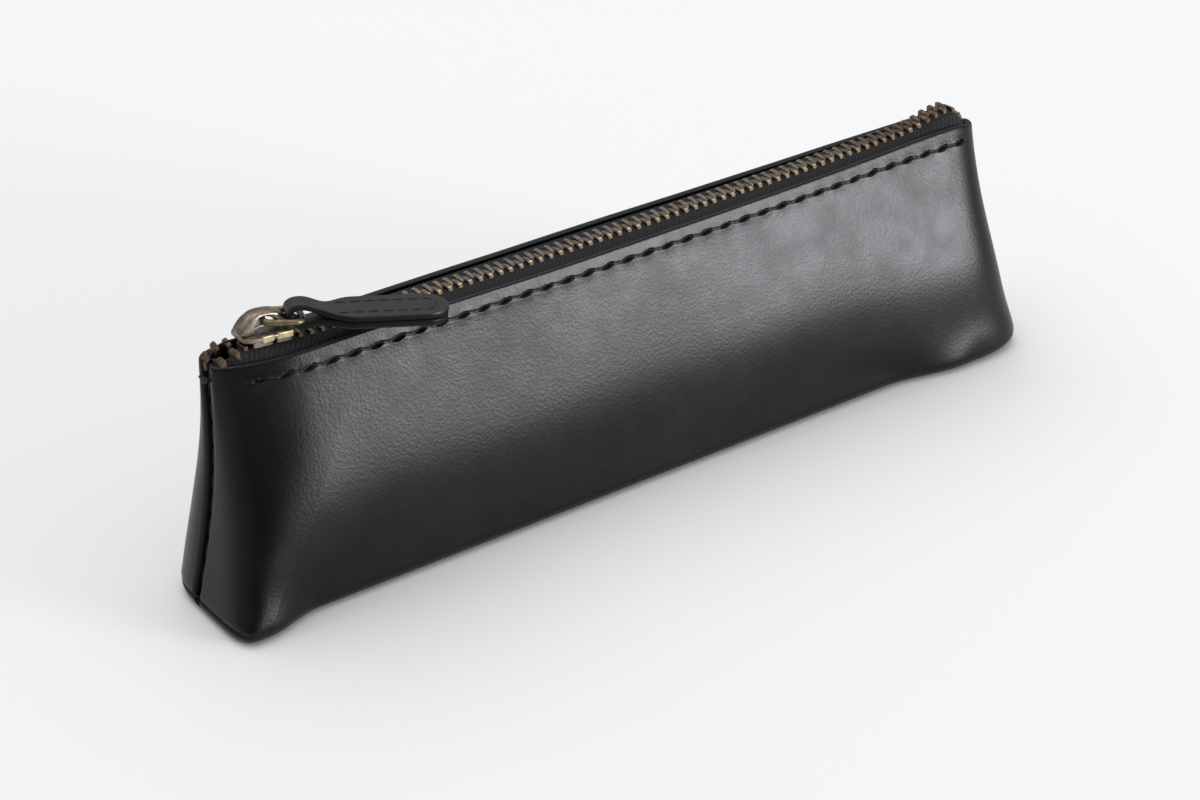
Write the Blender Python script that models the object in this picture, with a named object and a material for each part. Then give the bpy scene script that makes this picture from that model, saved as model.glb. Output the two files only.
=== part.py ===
"""A slim leather pen case that stands on its flat base and zips open along its top.

The case lies along X, its front faces -Y, and its base rests on z = 0 with the
origin under its middle. The zip is closed, with its slider at the left end (-X).
Lengths are in metres.
"""
import math

import bmesh
import bpy
from mathutils import Matrix, Vector

# Leather case
CASE_LENGTH = 0.2072
END_LEAN = 0.0086
END_HOLLOW = 0.0014
CASE_HEIGHT = 0.0528
BASE_DEPTH = 0.0330
CORNER_DEPTH = 0.0396
MOUTH_DEPTH = 0.0142
RIGHT_MOUTH_DEPTH = 0.0110
MOUTH_TAPER_LENGTH = 0.1250
MOUTH_TAPER_INSET = 0.0236
LEATHER = 0.0013
BASE_EDGE_RADIUS = 0.0032
WALL_BULGE = 0.0024
LEFT_FLARE_INSET = 0.0196
LEFT_FLARE_LENGTH = 0.0130
RIGHT_FLARE_INSET = 0.0376
RIGHT_FLARE_LENGTH = 0.0100
TIGHT_CORNER_RUN = 0.0060
ROUND_CORNER_RUN = 0.0195
LEFT_RUN_TOP = 0.0300
RIGHT_RUN_TOP = 0.0100

# Sewn seams of the case
SEAM_GROOVE_WIDTH = 0.0022
SEAM_FLOOR_WIDTH = 0.0005
SEAM_GROOVE_DEPTH = 0.0016
SEAM_ALLOWANCE = 0.0060
SEAM_ALLOWANCE_TOP = 0.0020
SEAM_ALLOWANCE_FADE = 0.0140
SEAM_FIN_WIDTH = 0.0018
BASE_SEAM_HEIGHT = 0.0027
BASE_SEAM_LIP = 0.0009
BASE_SEAM_DEPTH = 0.0008
BASE_SEAM_REACH = 0.0125
EDGE_STITCH_DROP = 0.0032
EDGE_STITCH_LIP = 0.0008
EDGE_STITCH_DENT = 0.00035

# Thread
THREAD_WIDTH = 0.0007
THREAD_THICKNESS = 0.0005
STITCH_PITCH = 0.0050
EDGE_STITCH_LEFT_INSET = 0.0071
EDGE_STITCH_RIGHT_INSET = 0.0029
SEAM_THREAD_WIDTH = 0.0005
SEAM_THREAD_THICKNESS = 0.0004
SEAM_THREAD_DEPTH = 0.0012
CORNER_THREAD_DEPTH = 0.0009
SEAM_STITCH_PITCH = 0.0042

# Zip
ZIP_DROP = 0.0003
CHAIN_WIDTH = 0.0046
CHAIN_HEIGHT = 0.0023
TOOTH_PITCH = 0.00244
TOOTH_OVERLAP = 0.00015
TOOTH_HEAD_HEIGHT = 0.0013
CORD_WIDTH = 0.0008
CORD_SETBACK = 0.0007
TAPE_THICKNESS = 0.0006
TAPE_SHOULDER_DROP = 0.0006
TAPE_SHOULDER_WIDTH = 0.0003
TAPE_SKIRT = 0.0095
TAPE_LEFT_INSET = 0.0035
TAPE_RIGHT_INSET = 0.0028
TEETH_LEFT_INSET = 0.0078
TEETH_RIGHT_INSET = 0.0100
PART_OFFSET = 0.0009
PART_LENGTH = 0.0044
LEFT_DIVE = 0.0012
LEFT_DIVE_LENGTH = 0.0020
RIGHT_DIVE = 0.0045
RIGHT_DIVE_LENGTH = 0.0050
TOP_STOP_LENGTH = 0.0018
BOTTOM_STOP_LENGTH = 0.0028

# Slider
SLIDER_LENGTH = 0.0118
SLIDER_NOSE = 0.0007
SLIDER_PLATE = 0.0009
SLIDER_FLANGE = 0.0008
SLIDER_SLOT = 0.0012
SLIDER_NOSE_WIDTH = 0.0064
DIVIDER_WIDTH = 0.0008
DIVIDER_LENGTH = 0.0032
LOWER_PLATE_WIDTH = 0.0062
CROWN_LENGTH = 0.0104
CROWN_HEIGHT = 0.0061
CROWN_THICKNESS = 0.0010
CROWN_WIDTH = 0.0022
SPRING_LENGTH = 0.0064
SPRING_WIDTH = 0.0008
SPRING_THICKNESS = 0.0003

# Pull
PULL_YAW = math.radians(-18.5)
PULL_TILT = math.radians(7.5)
LINK_PIVOT_LIFT = 0.00445
LINK_LENGTH = 0.0078
LINK_WIRE = 0.0013
LINK_INNER_WIDTH = 0.0069
STRAP_LENGTH = 0.0294
STRAP_WIDTH = 0.0095
STRAP_LOOP_WIDTH = 0.0063
STRAP_LEATHER = 0.0014
STRAP_PLY_GAP = 0.0001
STRAP_STITCH_INSET = 0.0023
STRAP_STITCH_START = 0.0070
STRAP_STITCH_PITCH = 0.0030

CLEARANCE = 0.0003
CUT_OVERRUN = 0.0005
STATION_SPACING = 0.0180
FINE_SPACING = 0.0016

# How square the corners are in plan: 2 is an ellipse, more is squarer
TIGHT_SQUARENESS_SHARE = 5.0
ROUND_SQUARENESS_SHARE = 2.9
TOP_SQUARENESS_SHARE = 3.2
CROWN_SQUARENESS_SHARE = 2.6

# Where the walls bend on their way up, and how sharply
KNEE_RISE_SHARE = 0.40
KNEE_SHARPNESS_SHARE = 4.0

# Where the points of the case lie, as shares of the run or height that they follow
END_TURN_SHARES = (0.10, 0.22, 0.34, 0.46, 0.58, 0.70, 0.82, 0.91, 1.0)
BASE_SEAM_FADE_SHARE = 0.6
LONG_WALL_SHARES = (0.03, 0.065, 0.13, 0.25, 0.38, 0.50, 0.62, 0.75, 0.87, 0.935, 0.97)
BASE_ROUND_SHARES = (0.0, 0.34, 0.67)
WALL_RISE_SHARES = (0.11, 0.22, 0.32, 0.42, 0.53, 0.70, 0.87)
INNER_RISE_SHARES = (0.06, 0.14, 0.30, 0.42, 0.56, 0.78, 0.87)
TAPE_SKIRT_SHARES = (0.2, 0.5, 1.0)
STITCH_BODY_SHARE = 0.5
THREAD_NECK_SHARE = 0.45
STRAP_TIP_SHARES = (0.997, 0.92, 0.75, 0.5, 0.0)
STRAP_BODY_SHARES = (0.33, 0.66, 1.0)
STRAP_SHOULDER_SHARE = 0.5
LOOP_NECK_SHARE = 2.0
LINK_BEND_SHARE = 0.75

# Steps and angles of the round pieces
CROWN_STEPS = 10
LINK_SIDES = 8
LINK_TURN_STEPS = 3
LOOP_STEPS = 10
LOOP_OPENING = math.radians(52.0)
LEATHER_SMOOTH_ANGLE = math.radians(40.0)
METAL_SMOOTH_ANGLE = math.radians(55.0)

# Sizes and places that follow from the ones above
TOP_LENGTH = CASE_LENGTH - 2 * END_LEAN
LEFT_FLARE_START = CASE_LENGTH / 2 - LEFT_FLARE_INSET
RIGHT_FLARE_START = CASE_LENGTH / 2 - RIGHT_FLARE_INSET
MOUTH_TAPER_END = CASE_LENGTH / 2 - MOUTH_TAPER_INSET
EDGE_STITCH_START = EDGE_STITCH_LEFT_INSET - TOP_LENGTH / 2
EDGE_STITCH_END = TOP_LENGTH / 2 - EDGE_STITCH_RIGHT_INSET
TAPE_LEFT_END = TAPE_LEFT_INSET - TOP_LENGTH / 2
TAPE_RIGHT_END = TOP_LENGTH / 2 - TAPE_RIGHT_INSET
TEETH_LEFT_END = TEETH_LEFT_INSET - TOP_LENGTH / 2
TEETH_RIGHT_END = TOP_LENGTH / 2 - TEETH_RIGHT_INSET
SLIDER_X = TEETH_LEFT_END + SLIDER_LENGTH / 2 - SLIDER_NOSE
ZIP_Z = CASE_HEIGHT - ZIP_DROP
PLATE_UNDERSIDE = ZIP_Z + CHAIN_HEIGHT / 2 + CLEARANCE
PLATE_TOP = PLATE_UNDERSIDE + SLIDER_PLATE
LOWER_PLATE_TOP = ZIP_Z - CHAIN_HEIGHT / 2 - CLEARANCE
PIVOT = Vector((SLIDER_X, 0.0, PLATE_TOP + LINK_PIVOT_LIFT))
PULL_FRAME = (Matrix.Translation(PIVOT) @ Matrix.Rotation(PULL_YAW, 4, "Z")
              @ Matrix.Rotation(PULL_TILT, 4, "Y"))


class Shape:
    """Points and faces of one node, gathered from one or more closed bodies."""

    def __init__(self):
        self.points = []
        self.faces = []

    def add_points(self, points):
        first = len(self.points)
        self.points.extend(Vector(point) for point in points)
        return list(range(first, len(self.points)))

    def add_band(self, ring, next_ring, closed=True):
        count = len(ring)
        for i in range(count if closed else count - 1):
            j = (i + 1) % count
            self.faces.append((ring[i], ring[j], next_ring[j], next_ring[i]))

    def add_loft(self, rings):
        """Join rings of equal count into one closed body with flat caps."""
        indices = [self.add_points(ring) for ring in rings]
        for ring, next_ring in zip(indices, indices[1:]):
            self.add_band(ring, next_ring)
        self.faces.append(tuple(reversed(indices[0])))
        self.faces.append(tuple(indices[-1]))

    def add_strand(self, place, length, pitch, width, thickness):
        """A run of stitches: one strand that swells at each stitch and thins between.

        place gives a point of the surface and its outward direction at a distance
        along the strand, and the strand lies just above that surface.
        """
        count = round(length / pitch)
        step = length / count
        rings = []
        for i in range(count + 1):
            rings.append(self.strand_ring(place, i * step, width * THREAD_NECK_SHARE,
                                          thickness * THREAD_NECK_SHARE, step))
            if i == count:
                break
            for side in (-1, 1):
                distance = (i + 0.5 + side * STITCH_BODY_SHARE / 2) * step
                rings.append(self.strand_ring(place, distance, width, thickness, step))
        self.add_loft(rings)

    @staticmethod
    def strand_ring(place, distance, width, thickness, step):
        point, outward = place(distance)
        outward = outward.normalized()
        along = (place(distance + step / 4)[0] - place(distance - step / 4)[0]).normalized()
        across = along.cross(outward) * width / 2
        low = point + outward * CLEARANCE
        high = low + outward * thickness
        middle = (low + high) / 2
        return [middle + across, high, middle - across, low]

    def build(self, name, material, frame=None, smooth_angle=None):
        mesh = bpy.data.meshes.new(name)
        mesh.from_pydata(self.points, [], self.faces)
        if frame is not None:
            mesh.transform(frame)
        edit = bmesh.new()
        edit.from_mesh(mesh)
        bmesh.ops.recalc_face_normals(edit, faces=edit.faces)
        edit.to_mesh(mesh)
        edit.free()
        mesh.validate()
        if smooth_angle is not None:
            mesh.shade_smooth()
            mesh.set_sharp_from_angle(angle=smooth_angle)
        item = bpy.data.objects.new(name, mesh)
        item.data.materials.append(material)
        bpy.context.scene.collection.objects.link(item)
        return item


def clear_scene():
    for item in list(bpy.data.objects):
        bpy.data.objects.remove(item, do_unlink=True)


def make_material(name, colour, roughness, metallic=0.0):
    material = bpy.data.materials.new(name)
    material.use_nodes = True
    shader = material.node_tree.nodes["Principled BSDF"]
    shader.inputs["Base Color"].default_value = (*colour, 1.0)
    shader.inputs["Roughness"].default_value = roughness
    shader.inputs["Metallic"].default_value = metallic
    return material


def set_origin(item, point):
    """Put an object's origin on its joint's axis without moving its mesh."""
    item.data.transform(Matrix.Translation(-Vector(point)))
    item.location = point


def smooth_step(share):
    share = min(max(share, 0.0), 1.0)
    return share * share * (3.0 - 2.0 * share)


def mix(start, end, share):
    return start + (end - start) * share


# Shape of the case
def rise_share(z):
    return min(max((z - BASE_SEAM_HEIGHT) / (CASE_HEIGHT - BASE_SEAM_HEIGHT), 0.0), 1.0)


def base_edge_inset(z):
    """How far the rounded lower edge draws in at a height."""
    below = max(BASE_EDGE_RADIUS - z, 0.0)
    return BASE_EDGE_RADIUS - math.sqrt(BASE_EDGE_RADIUS ** 2 - below ** 2)


def half_length(z):
    rise = rise_share(z)
    hollow = END_HOLLOW * math.sin(math.pi * rise)
    return mix(CASE_LENGTH, TOP_LENGTH, rise) / 2 - hollow - base_edge_inset(z)


def mouth_depth(x):
    """How far apart the upper edges are: the mouth draws in towards the right end."""
    share = 1.0 - (MOUTH_TAPER_END - x) / MOUTH_TAPER_LENGTH
    return mix(MOUTH_DEPTH, RIGHT_MOUTH_DEPTH, min(max(share, 0.0), 1.0))


def bulge_share(rise):
    """How far a wall stands out on its way up: steep below its knee, leaning above."""
    below = rise / KNEE_RISE_SHARE
    above = (1.0 - rise) / (1.0 - KNEE_RISE_SHARE)
    power = KNEE_SHARPNESS_SHARE
    return below * above / (below ** power + above ** power) ** (1.0 / power)


def long_wall_depth(x, z):
    rise = rise_share(z)
    depth = mix(BASE_DEPTH, mouth_depth(x), rise) / 2 + WALL_BULGE * bulge_share(rise)
    flare = (CORNER_DEPTH - BASE_DEPTH) / 2 * (1.0 - rise) ** 3
    if x < 0:
        flare *= smooth_step((-x - LEFT_FLARE_START) / LEFT_FLARE_LENGTH)
    else:
        flare *= smooth_step((x - RIGHT_FLARE_START) / RIGHT_FLARE_LENGTH)
    return depth + flare - base_edge_inset(z)


def corner_shape(side, face, z, inset):
    """Half length, run, half depth and squareness of one corner of the case in plan.

    The front left corner is sharply folded; the other three are worn round.
    """
    rise = rise_share(z)
    length = half_length(z) - inset
    tight = side < 0 and face < 0
    run_base = TIGHT_CORNER_RUN if tight else ROUND_CORNER_RUN
    run_top = LEFT_RUN_TOP if side < 0 else RIGHT_RUN_TOP
    run = mix(run_base, run_top, rise)
    depth = long_wall_depth(side * (length - run), z) - inset
    base_square = TIGHT_SQUARENESS_SHARE if tight else ROUND_SQUARENESS_SHARE
    square = TOP_SQUARENESS_SHARE + (base_square - TOP_SQUARENESS_SHARE) * (1.0 - rise) ** 3
    return length, run, depth, square


def wall_depth(face, x, z, inset=0.0):
    """Half depth of the front or back wall at any x, with its ends rounded in plan."""
    length, run, depth, square = corner_shape(-1 if x < 0 else 1, face, z, inset)
    over = (abs(x) - (length - run)) / run
    if over <= 0.0:
        return long_wall_depth(x, z) - inset
    return depth * (1.0 - min(over, 1.0) ** square) ** (1.0 / square)


def end_reach(side, y, z, inset=0.0):
    """How far an end reaches from the middle of the case, at some way off its seam."""
    length, run, depth, square = corner_shape(side, -1 if y < 0 else 1, z, inset)
    return length - run + run * (1.0 - (abs(y) / depth) ** square) ** (1.0 / square)


def seam_depth(z, inner):
    """Depth of the end seam's groove outside, or of its turned-in edges inside."""
    opened = z > BASE_SEAM_HEIGHT
    if not inner:
        return SEAM_GROOVE_DEPTH if opened else 0.0
    fade = smooth_step((CASE_HEIGHT - z) / SEAM_ALLOWANCE_FADE)
    return mix(SEAM_ALLOWANCE_TOP, SEAM_ALLOWANCE, fade) if opened else 0.0


def end_points(side, face, z, inner, base_groove):
    """Half of one rounded end in plan, from its seam to the long wall."""
    inset = LEATHER if inner else 0.0
    length, run, depth, square = corner_shape(side, face, z, inset)
    floor = (SEAM_FIN_WIDTH if inner else SEAM_FLOOR_WIDTH) / 2
    lip = SEAM_GROOVE_WIDTH / 2
    points = [(length - seam_depth(z, inner), floor), (end_reach(side, face * lip, z, inset), lip)]
    for turn in END_TURN_SHARES:
        angle = turn * math.pi / 2
        along = run * max(math.cos(angle), 0.0) ** (2.0 / square)
        points.append((length - run + along, depth * math.sin(angle) ** (2.0 / square)))
    grooved = []
    for (x, y), turn in zip(points, (0.0, 0.0) + END_TURN_SHARES):
        fade = smooth_step((turn - BASE_SEAM_FADE_SHARE) / (1.0 - BASE_SEAM_FADE_SHARE))
        draw = base_groove * (1.0 - fade)
        grooved.append((side * (x - draw), y))
    return grooved


def side_points(face, z, inner, base_groove, dent):
    """One long side of the case in plan, from the left seam to the right seam."""
    inset = LEATHER if inner else 0.0
    left = end_points(-1, face, z, inner, base_groove)
    right = end_points(1, face, z, inner, base_groove)
    start = left[-1][0]
    end = right[-1][0]
    points = list(left)
    for share in LONG_WALL_SHARES:
        x = mix(start, end, share)
        points.append((x, long_wall_depth(x, z) - inset))
    points += list(reversed(right))
    return [(x, face * (y - dent * smooth_step(y / MOUTH_DEPTH * 4)), z) for x, y in points]


def case_ring(z, inner=False, base_groove=0.0, dent=0.0):
    front = side_points(-1, z, inner, base_groove, dent)
    back = side_points(1, z, inner, base_groove, dent)
    return front + list(reversed(back))


def outer_levels():
    """Heights of the outer rings, each with its seam groove and stitch dent."""
    levels = [(BASE_EDGE_RADIUS * (1.0 - math.cos(share * math.pi / 2)), 0.0, 0.0)
              for share in BASE_ROUND_SHARES]
    levels.append((BASE_SEAM_HEIGHT - BASE_SEAM_LIP, 0.0, 0.0))
    levels.append((BASE_SEAM_HEIGHT, BASE_SEAM_DEPTH, 0.0))
    levels.append((BASE_SEAM_HEIGHT + BASE_SEAM_LIP, 0.0, 0.0))
    levels += [(share * CASE_HEIGHT, 0.0, 0.0) for share in WALL_RISE_SHARES]
    stitch_line = CASE_HEIGHT - EDGE_STITCH_DROP
    levels.append((stitch_line - EDGE_STITCH_LIP, 0.0, 0.0))
    levels.append((stitch_line, 0.0, EDGE_STITCH_DENT))
    levels.append((stitch_line + EDGE_STITCH_LIP, 0.0, 0.0))
    levels.append((CASE_HEIGHT, 0.0, 0.0))
    return sorted(levels)


def make_leather_body(material):
    """One panel of leather: front wall, base and back wall, sewn shut at both ends."""
    shape = Shape()
    rings = [shape.add_points(case_ring(z, False, groove, dent))
             for z, groove, dent in outer_levels()]
    heights = [LEATHER] + [share * CASE_HEIGHT for share in INNER_RISE_SHARES] + [CASE_HEIGHT]
    rings += [shape.add_points(case_ring(z, True)) for z in reversed(heights)]
    for ring, next_ring in zip(rings, rings[1:]):
        shape.add_band(ring, next_ring)
    shape.faces.append(tuple(rings[0]))
    shape.faces.append(tuple(rings[-1]))
    return shape.build("leather_body", material, smooth_angle=LEATHER_SMOOTH_ANGLE)


# Thread of the case
def make_edge_thread(name, side, material):
    """The row of stitches that holds one tape to one long edge of the mouth."""
    z = CASE_HEIGHT - EDGE_STITCH_DROP

    def place(distance):
        x = EDGE_STITCH_START + distance
        before = wall_depth(side, x - THREAD_WIDTH, z)
        after = wall_depth(side, x + THREAD_WIDTH, z)
        outward = Vector(((before - after) / (2 * THREAD_WIDTH), side, 0.0)).normalized()
        surface = Vector((x, side * wall_depth(side, x, z), z))
        return surface - outward * EDGE_STITCH_DENT, outward

    shape = Shape()
    shape.add_strand(place, EDGE_STITCH_END - EDGE_STITCH_START, STITCH_PITCH, THREAD_WIDTH,
                     THREAD_THICKNESS)
    return shape.build(name, material)


def make_end_seam_thread(name, side, material):
    """The thread that shows at the bottom of an end seam's groove."""
    low = BASE_SEAM_HEIGHT + STITCH_PITCH / 2

    def place(distance):
        z = low + distance
        return Vector((side * (half_length(z) - SEAM_THREAD_DEPTH), 0.0, z)), Vector((side, 0.0, 0.0))

    shape = Shape()
    shape.add_strand(place, CASE_HEIGHT - EDGE_STITCH_DROP - low, STITCH_PITCH, SEAM_THREAD_WIDTH,
                     SEAM_THREAD_THICKNESS)
    return shape.build(name, material)


def make_corner_seam_thread(name, side, material):
    """The thread along the level seam that squares off the two base corners of one end."""
    def place(distance):
        y = distance - BASE_SEAM_REACH
        x = side * (end_reach(side, y, BASE_SEAM_HEIGHT) - CORNER_THREAD_DEPTH)
        return Vector((x, y, BASE_SEAM_HEIGHT)), Vector((side, 0.0, 0.0))

    shape = Shape()
    shape.add_strand(place, 2 * BASE_SEAM_REACH, SEAM_STITCH_PITCH, SEAM_THREAD_WIDTH,
                     SEAM_THREAD_THICKNESS)
    return shape.build(name, material)


# Zip
def zip_height(x):
    """Height of the zip's middle: level, and dipping into the seam at each end."""
    left = LEFT_DIVE * smooth_step((TAPE_LEFT_END + LEFT_DIVE_LENGTH - x) / LEFT_DIVE_LENGTH)
    right = RIGHT_DIVE * smooth_step((x - TAPE_RIGHT_END + RIGHT_DIVE_LENGTH) / RIGHT_DIVE_LENGTH)
    return ZIP_Z - left - right


def parting(x):
    """How far each row stands off the middle: apart in the slider's left half."""
    return PART_OFFSET * smooth_step((SLIDER_X + PART_LENGTH / 2 - x) / PART_LENGTH)


def tape_stations():
    """Places along the tape, close together where it bends."""
    places = []
    x = TAPE_LEFT_END
    fine_left = SLIDER_X + PART_LENGTH
    fine_right = TAPE_RIGHT_END - RIGHT_DIVE_LENGTH
    while x < fine_left:
        places.append(x)
        x += FINE_SPACING
    count = round((fine_right - fine_left) / STATION_SPACING)
    places += [mix(fine_left, fine_right, i / count) for i in range(count + 1)]
    x = fine_right + FINE_SPACING
    while x < TAPE_RIGHT_END:
        places.append(x)
        x += FINE_SPACING
    return places


def tape_section(x, side):
    """Middle line of one tape: flat beside the teeth, then down inside the wall."""
    level = zip_height(x)
    stand_off = CLEARANCE + TAPE_THICKNESS / 2
    shoulder_z = min(CASE_HEIGHT - TAPE_SHOULDER_DROP - TAPE_THICKNESS / 2, level)
    shoulder = wall_depth(side, x, shoulder_z, LEATHER) - stand_off
    inner = min(CHAIN_WIDTH / 2 + parting(x) + CLEARANCE, shoulder - TAPE_SHOULDER_WIDTH)
    points = [(inner, level), (mix(inner, shoulder, 0.5), level), (shoulder, shoulder_z)]
    for share in TAPE_SKIRT_SHARES:
        z = shoulder_z - TAPE_SKIRT * share
        points.append((wall_depth(side, x, z, LEATHER) - stand_off, z))
    return [(x, side * y, z) for y, z in points]


def make_tape(name, side, material):
    shape = Shape()
    rows = [shape.add_points(tape_section(x, side)) for x in tape_stations()]
    for row, next_row in zip(rows, rows[1:]):
        shape.add_band(row, next_row, closed=False)
    tape = shape.build(name, material, smooth_angle=LEATHER_SMOOTH_ANGLE)
    thicken = tape.modifiers.new("Thickness", "SOLIDIFY")
    thicken.thickness = TAPE_THICKNESS
    thicken.offset = 0.0
    thicken.use_even_offset = True
    return tape


def row_section(x, side, outline):
    """One cross-section of a row, moved out to where the row runs at this place."""
    offset = parting(x)
    level = zip_height(x)
    return [(x, side * (y + offset), z + level) for y, z in outline]


def tooth_outline():
    """Side view of a tooth, from its low head to its full height at the tape."""
    head = TOOTH_HEAD_HEIGHT / 2
    half = CHAIN_HEIGHT / 2
    back = CHAIN_WIDTH / 2
    return [(-TOOTH_OVERLAP, -head), (back, -half), (back, half), (-TOOTH_OVERLAP, head)]


def cord_outline():
    """Cross-section of the cord that the teeth are clamped on."""
    half = CORD_WIDTH / 2
    back = CHAIN_WIDTH / 2 - CORD_SETBACK
    return [(back - CORD_WIDTH, -half), (back, -half), (back, half), (back - CORD_WIDTH, half)]


def make_teeth(name, side, material):
    """One row of teeth on their cord; the back row sits half a pitch along."""
    shape = Shape()
    start = TEETH_LEFT_END + (0.0 if side < 0 else TOOTH_PITCH / 2)
    length = TOOTH_PITCH / 2 - CLEARANCE
    count = int((TEETH_RIGHT_END - TEETH_LEFT_END) / TOOTH_PITCH)
    rings = []
    for i in range(count):
        x = start + i * TOOTH_PITCH
        near = x - length / 2
        far = x + length / 2
        rings += [row_section(near, side, cord_outline()), row_section(near, side, tooth_outline()),
                  row_section(far, side, tooth_outline()), row_section(far, side, cord_outline())]
    shape.add_loft(rings[1:-1])
    return shape.build(name, material)


def make_top_stop(name, side, material):
    """A small brass block on one tape's edge, beyond the first tooth."""
    shape = Shape()
    end = TEETH_LEFT_END - TOOTH_PITCH / 4 - CLEARANCE
    outline = [(0.0, -CHAIN_HEIGHT / 2), (CHAIN_WIDTH / 2, -CHAIN_HEIGHT / 2),
               (CHAIN_WIDTH / 2, CHAIN_HEIGHT / 2), (0.0, CHAIN_HEIGHT / 2)]
    shape.add_loft([row_section(x, side, outline) for x in (end - TOP_STOP_LENGTH, end)])
    return shape.build(name, material)


def make_bottom_stop(material):
    """One clip across both tapes, past the last tooth."""
    shape = Shape()
    half = CHAIN_HEIGHT / 2
    reach = CHAIN_WIDTH / 2
    start = TEETH_RIGHT_END + TOOTH_PITCH / 2
    level = zip_height(start + BOTTOM_STOP_LENGTH)
    outline = [(-reach, -half), (reach, -half), (reach, half), (-reach, half)]
    shape.add_loft([[(x, y, z + level) for y, z in outline] for x in (start, start + BOTTOM_STOP_LENGTH)])
    return shape.build("bottom_stop", material)


# Slider
def slider_outline(margin):
    """Half of the slider in plan, wide at the end where the rows come apart."""
    half = SLIDER_LENGTH / 2
    closed = CHAIN_WIDTH / 2 + CLEARANCE + margin
    parted = closed + PART_OFFSET
    return half, closed, parted


def add_plan_prism(shape, outline, low, high):
    shape.add_loft([[(x, y, z) for x, y in outline] for z in (low, high)])


def mirrored(half_outline):
    """Close a half outline, given from left to right, with its mirror image."""
    return half_outline + [(x, -y) for x, y in reversed(half_outline)]


def make_slider_body(material):
    """Upper plate with side flanges, divider between the rows, and lower plate."""
    half, closed, parted = slider_outline(SLIDER_FLANGE)
    flange_bottom = ZIP_Z + SLIDER_SLOT / 2
    bevel = SLIDER_FLANGE * 2
    upper = Shape()
    add_plan_prism(upper, mirrored([
        (SLIDER_X - half, SLIDER_NOSE_WIDTH / 2),
        (SLIDER_X - half + bevel, parted),
        (SLIDER_X - PART_LENGTH / 2, parted),
        (SLIDER_X + PART_LENGTH / 2, closed),
        (SLIDER_X + half - bevel / 2, closed),
        (SLIDER_X + half, closed - bevel / 2)]), flange_bottom, PLATE_TOP)
    body = upper.build("slider_body", material)

    half, closed, parted = slider_outline(0.0)
    channel = Shape()
    add_plan_prism(channel, mirrored([
        (SLIDER_X - half - CUT_OVERRUN, parted),
        (SLIDER_X - PART_LENGTH / 2, parted),
        (SLIDER_X + PART_LENGTH / 2, closed),
        (SLIDER_X + half + CUT_OVERRUN, closed)]), flange_bottom - CUT_OVERRUN, PLATE_UNDERSIDE)
    pin_room = SPRING_WIDTH / 2 + CLEARANCE
    pin_x = SLIDER_X + SPRING_LENGTH / 2
    hole = Shape()
    add_plan_prism(hole, [(pin_x - pin_room, -pin_room), (pin_x + pin_room, -pin_room),
                          (pin_x + pin_room, pin_room), (pin_x - pin_room, pin_room)],
                   PLATE_UNDERSIDE - CUT_OVERRUN, PLATE_TOP + CUT_OVERRUN)

    lower_low = LOWER_PLATE_TOP - SLIDER_PLATE
    lower_half = LOWER_PLATE_WIDTH / 2
    lower = Shape()
    add_plan_prism(lower, mirrored([
        (SLIDER_X - half, lower_half - SLIDER_PLATE),
        (SLIDER_X - half + SLIDER_PLATE, lower_half),
        (SLIDER_X + half - SLIDER_PLATE, lower_half),
        (SLIDER_X + half, lower_half - SLIDER_PLATE)]), lower_low, LOWER_PLATE_TOP)
    divider = Shape()
    start = SLIDER_X - half + CLEARANCE
    add_plan_prism(divider, mirrored([
        (start, DIVIDER_WIDTH / 4),
        (start + DIVIDER_LENGTH / 4, DIVIDER_WIDTH / 2),
        (start + DIVIDER_LENGTH / 2, DIVIDER_WIDTH / 2),
        (start + DIVIDER_LENGTH, DIVIDER_WIDTH / 8)]),
        LOWER_PLATE_TOP - SLIDER_PLATE / 2, PLATE_UNDERSIDE + SLIDER_PLATE / 2)

    steps = (("channel", channel, "DIFFERENCE"), ("pin_hole", hole, "DIFFERENCE"),
             ("divider", divider, "UNION"), ("lower_plate", lower, "UNION"))
    for step_name, shape, operation in steps:
        tool = shape.build("slider_" + step_name + "_guide", material)
        tool.hide_render = True
        tool.display_type = "WIRE"
        cut = body.modifiers.new(step_name, "BOOLEAN")
        cut.operation = operation
        cut.object = tool
    return body


def make_crown(material):
    """The arch on the slider that holds the pull's ring."""
    shape = Shape()
    half = CROWN_LENGTH / 2
    base = PLATE_TOP + CLEARANCE
    power = 2 / CROWN_SQUARENESS_SHARE
    outline = []
    for reach, height in ((half, CROWN_HEIGHT), (half - CROWN_THICKNESS, CROWN_HEIGHT - CROWN_THICKNESS)):
        arch = []
        for i in range(CROWN_STEPS + 1):
            angle = math.pi * i / CROWN_STEPS
            x = math.copysign(abs(math.cos(angle)) ** power, math.cos(angle)) * reach
            z = max(math.sin(angle), 0.0) ** power * height
            arch.append((SLIDER_X + x, base + z))
        outline.append(arch)
    loop = outline[0] + list(reversed(outline[1]))
    shape.add_loft([[(x, y, z) for x, z in loop] for y in (-CROWN_WIDTH / 2, CROWN_WIDTH / 2)])
    return shape.build("slider_crown", material, smooth_angle=METAL_SMOOTH_ANGLE)


def make_lock_spring(material):
    """A leaf on the plate with a bent pin that drops through the plate's hole."""
    shape = Shape()
    bottom = PLATE_TOP + CLEARANCE
    top = bottom + SPRING_THICKNESS
    pin_x = SLIDER_X + SPRING_LENGTH / 2
    pin_half = SPRING_WIDTH / 2
    outline = [(SLIDER_X - SPRING_LENGTH / 2, top), (SLIDER_X - SPRING_LENGTH / 2, bottom),
               (pin_x - pin_half, bottom), (pin_x - pin_half, PLATE_UNDERSIDE),
               (pin_x + pin_half, PLATE_UNDERSIDE), (pin_x + pin_half, top)]
    shape.add_loft([[(x, y, z) for x, z in outline] for y in (-pin_half, pin_half)])
    return shape.build("slider_lock_spring", material)


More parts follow.
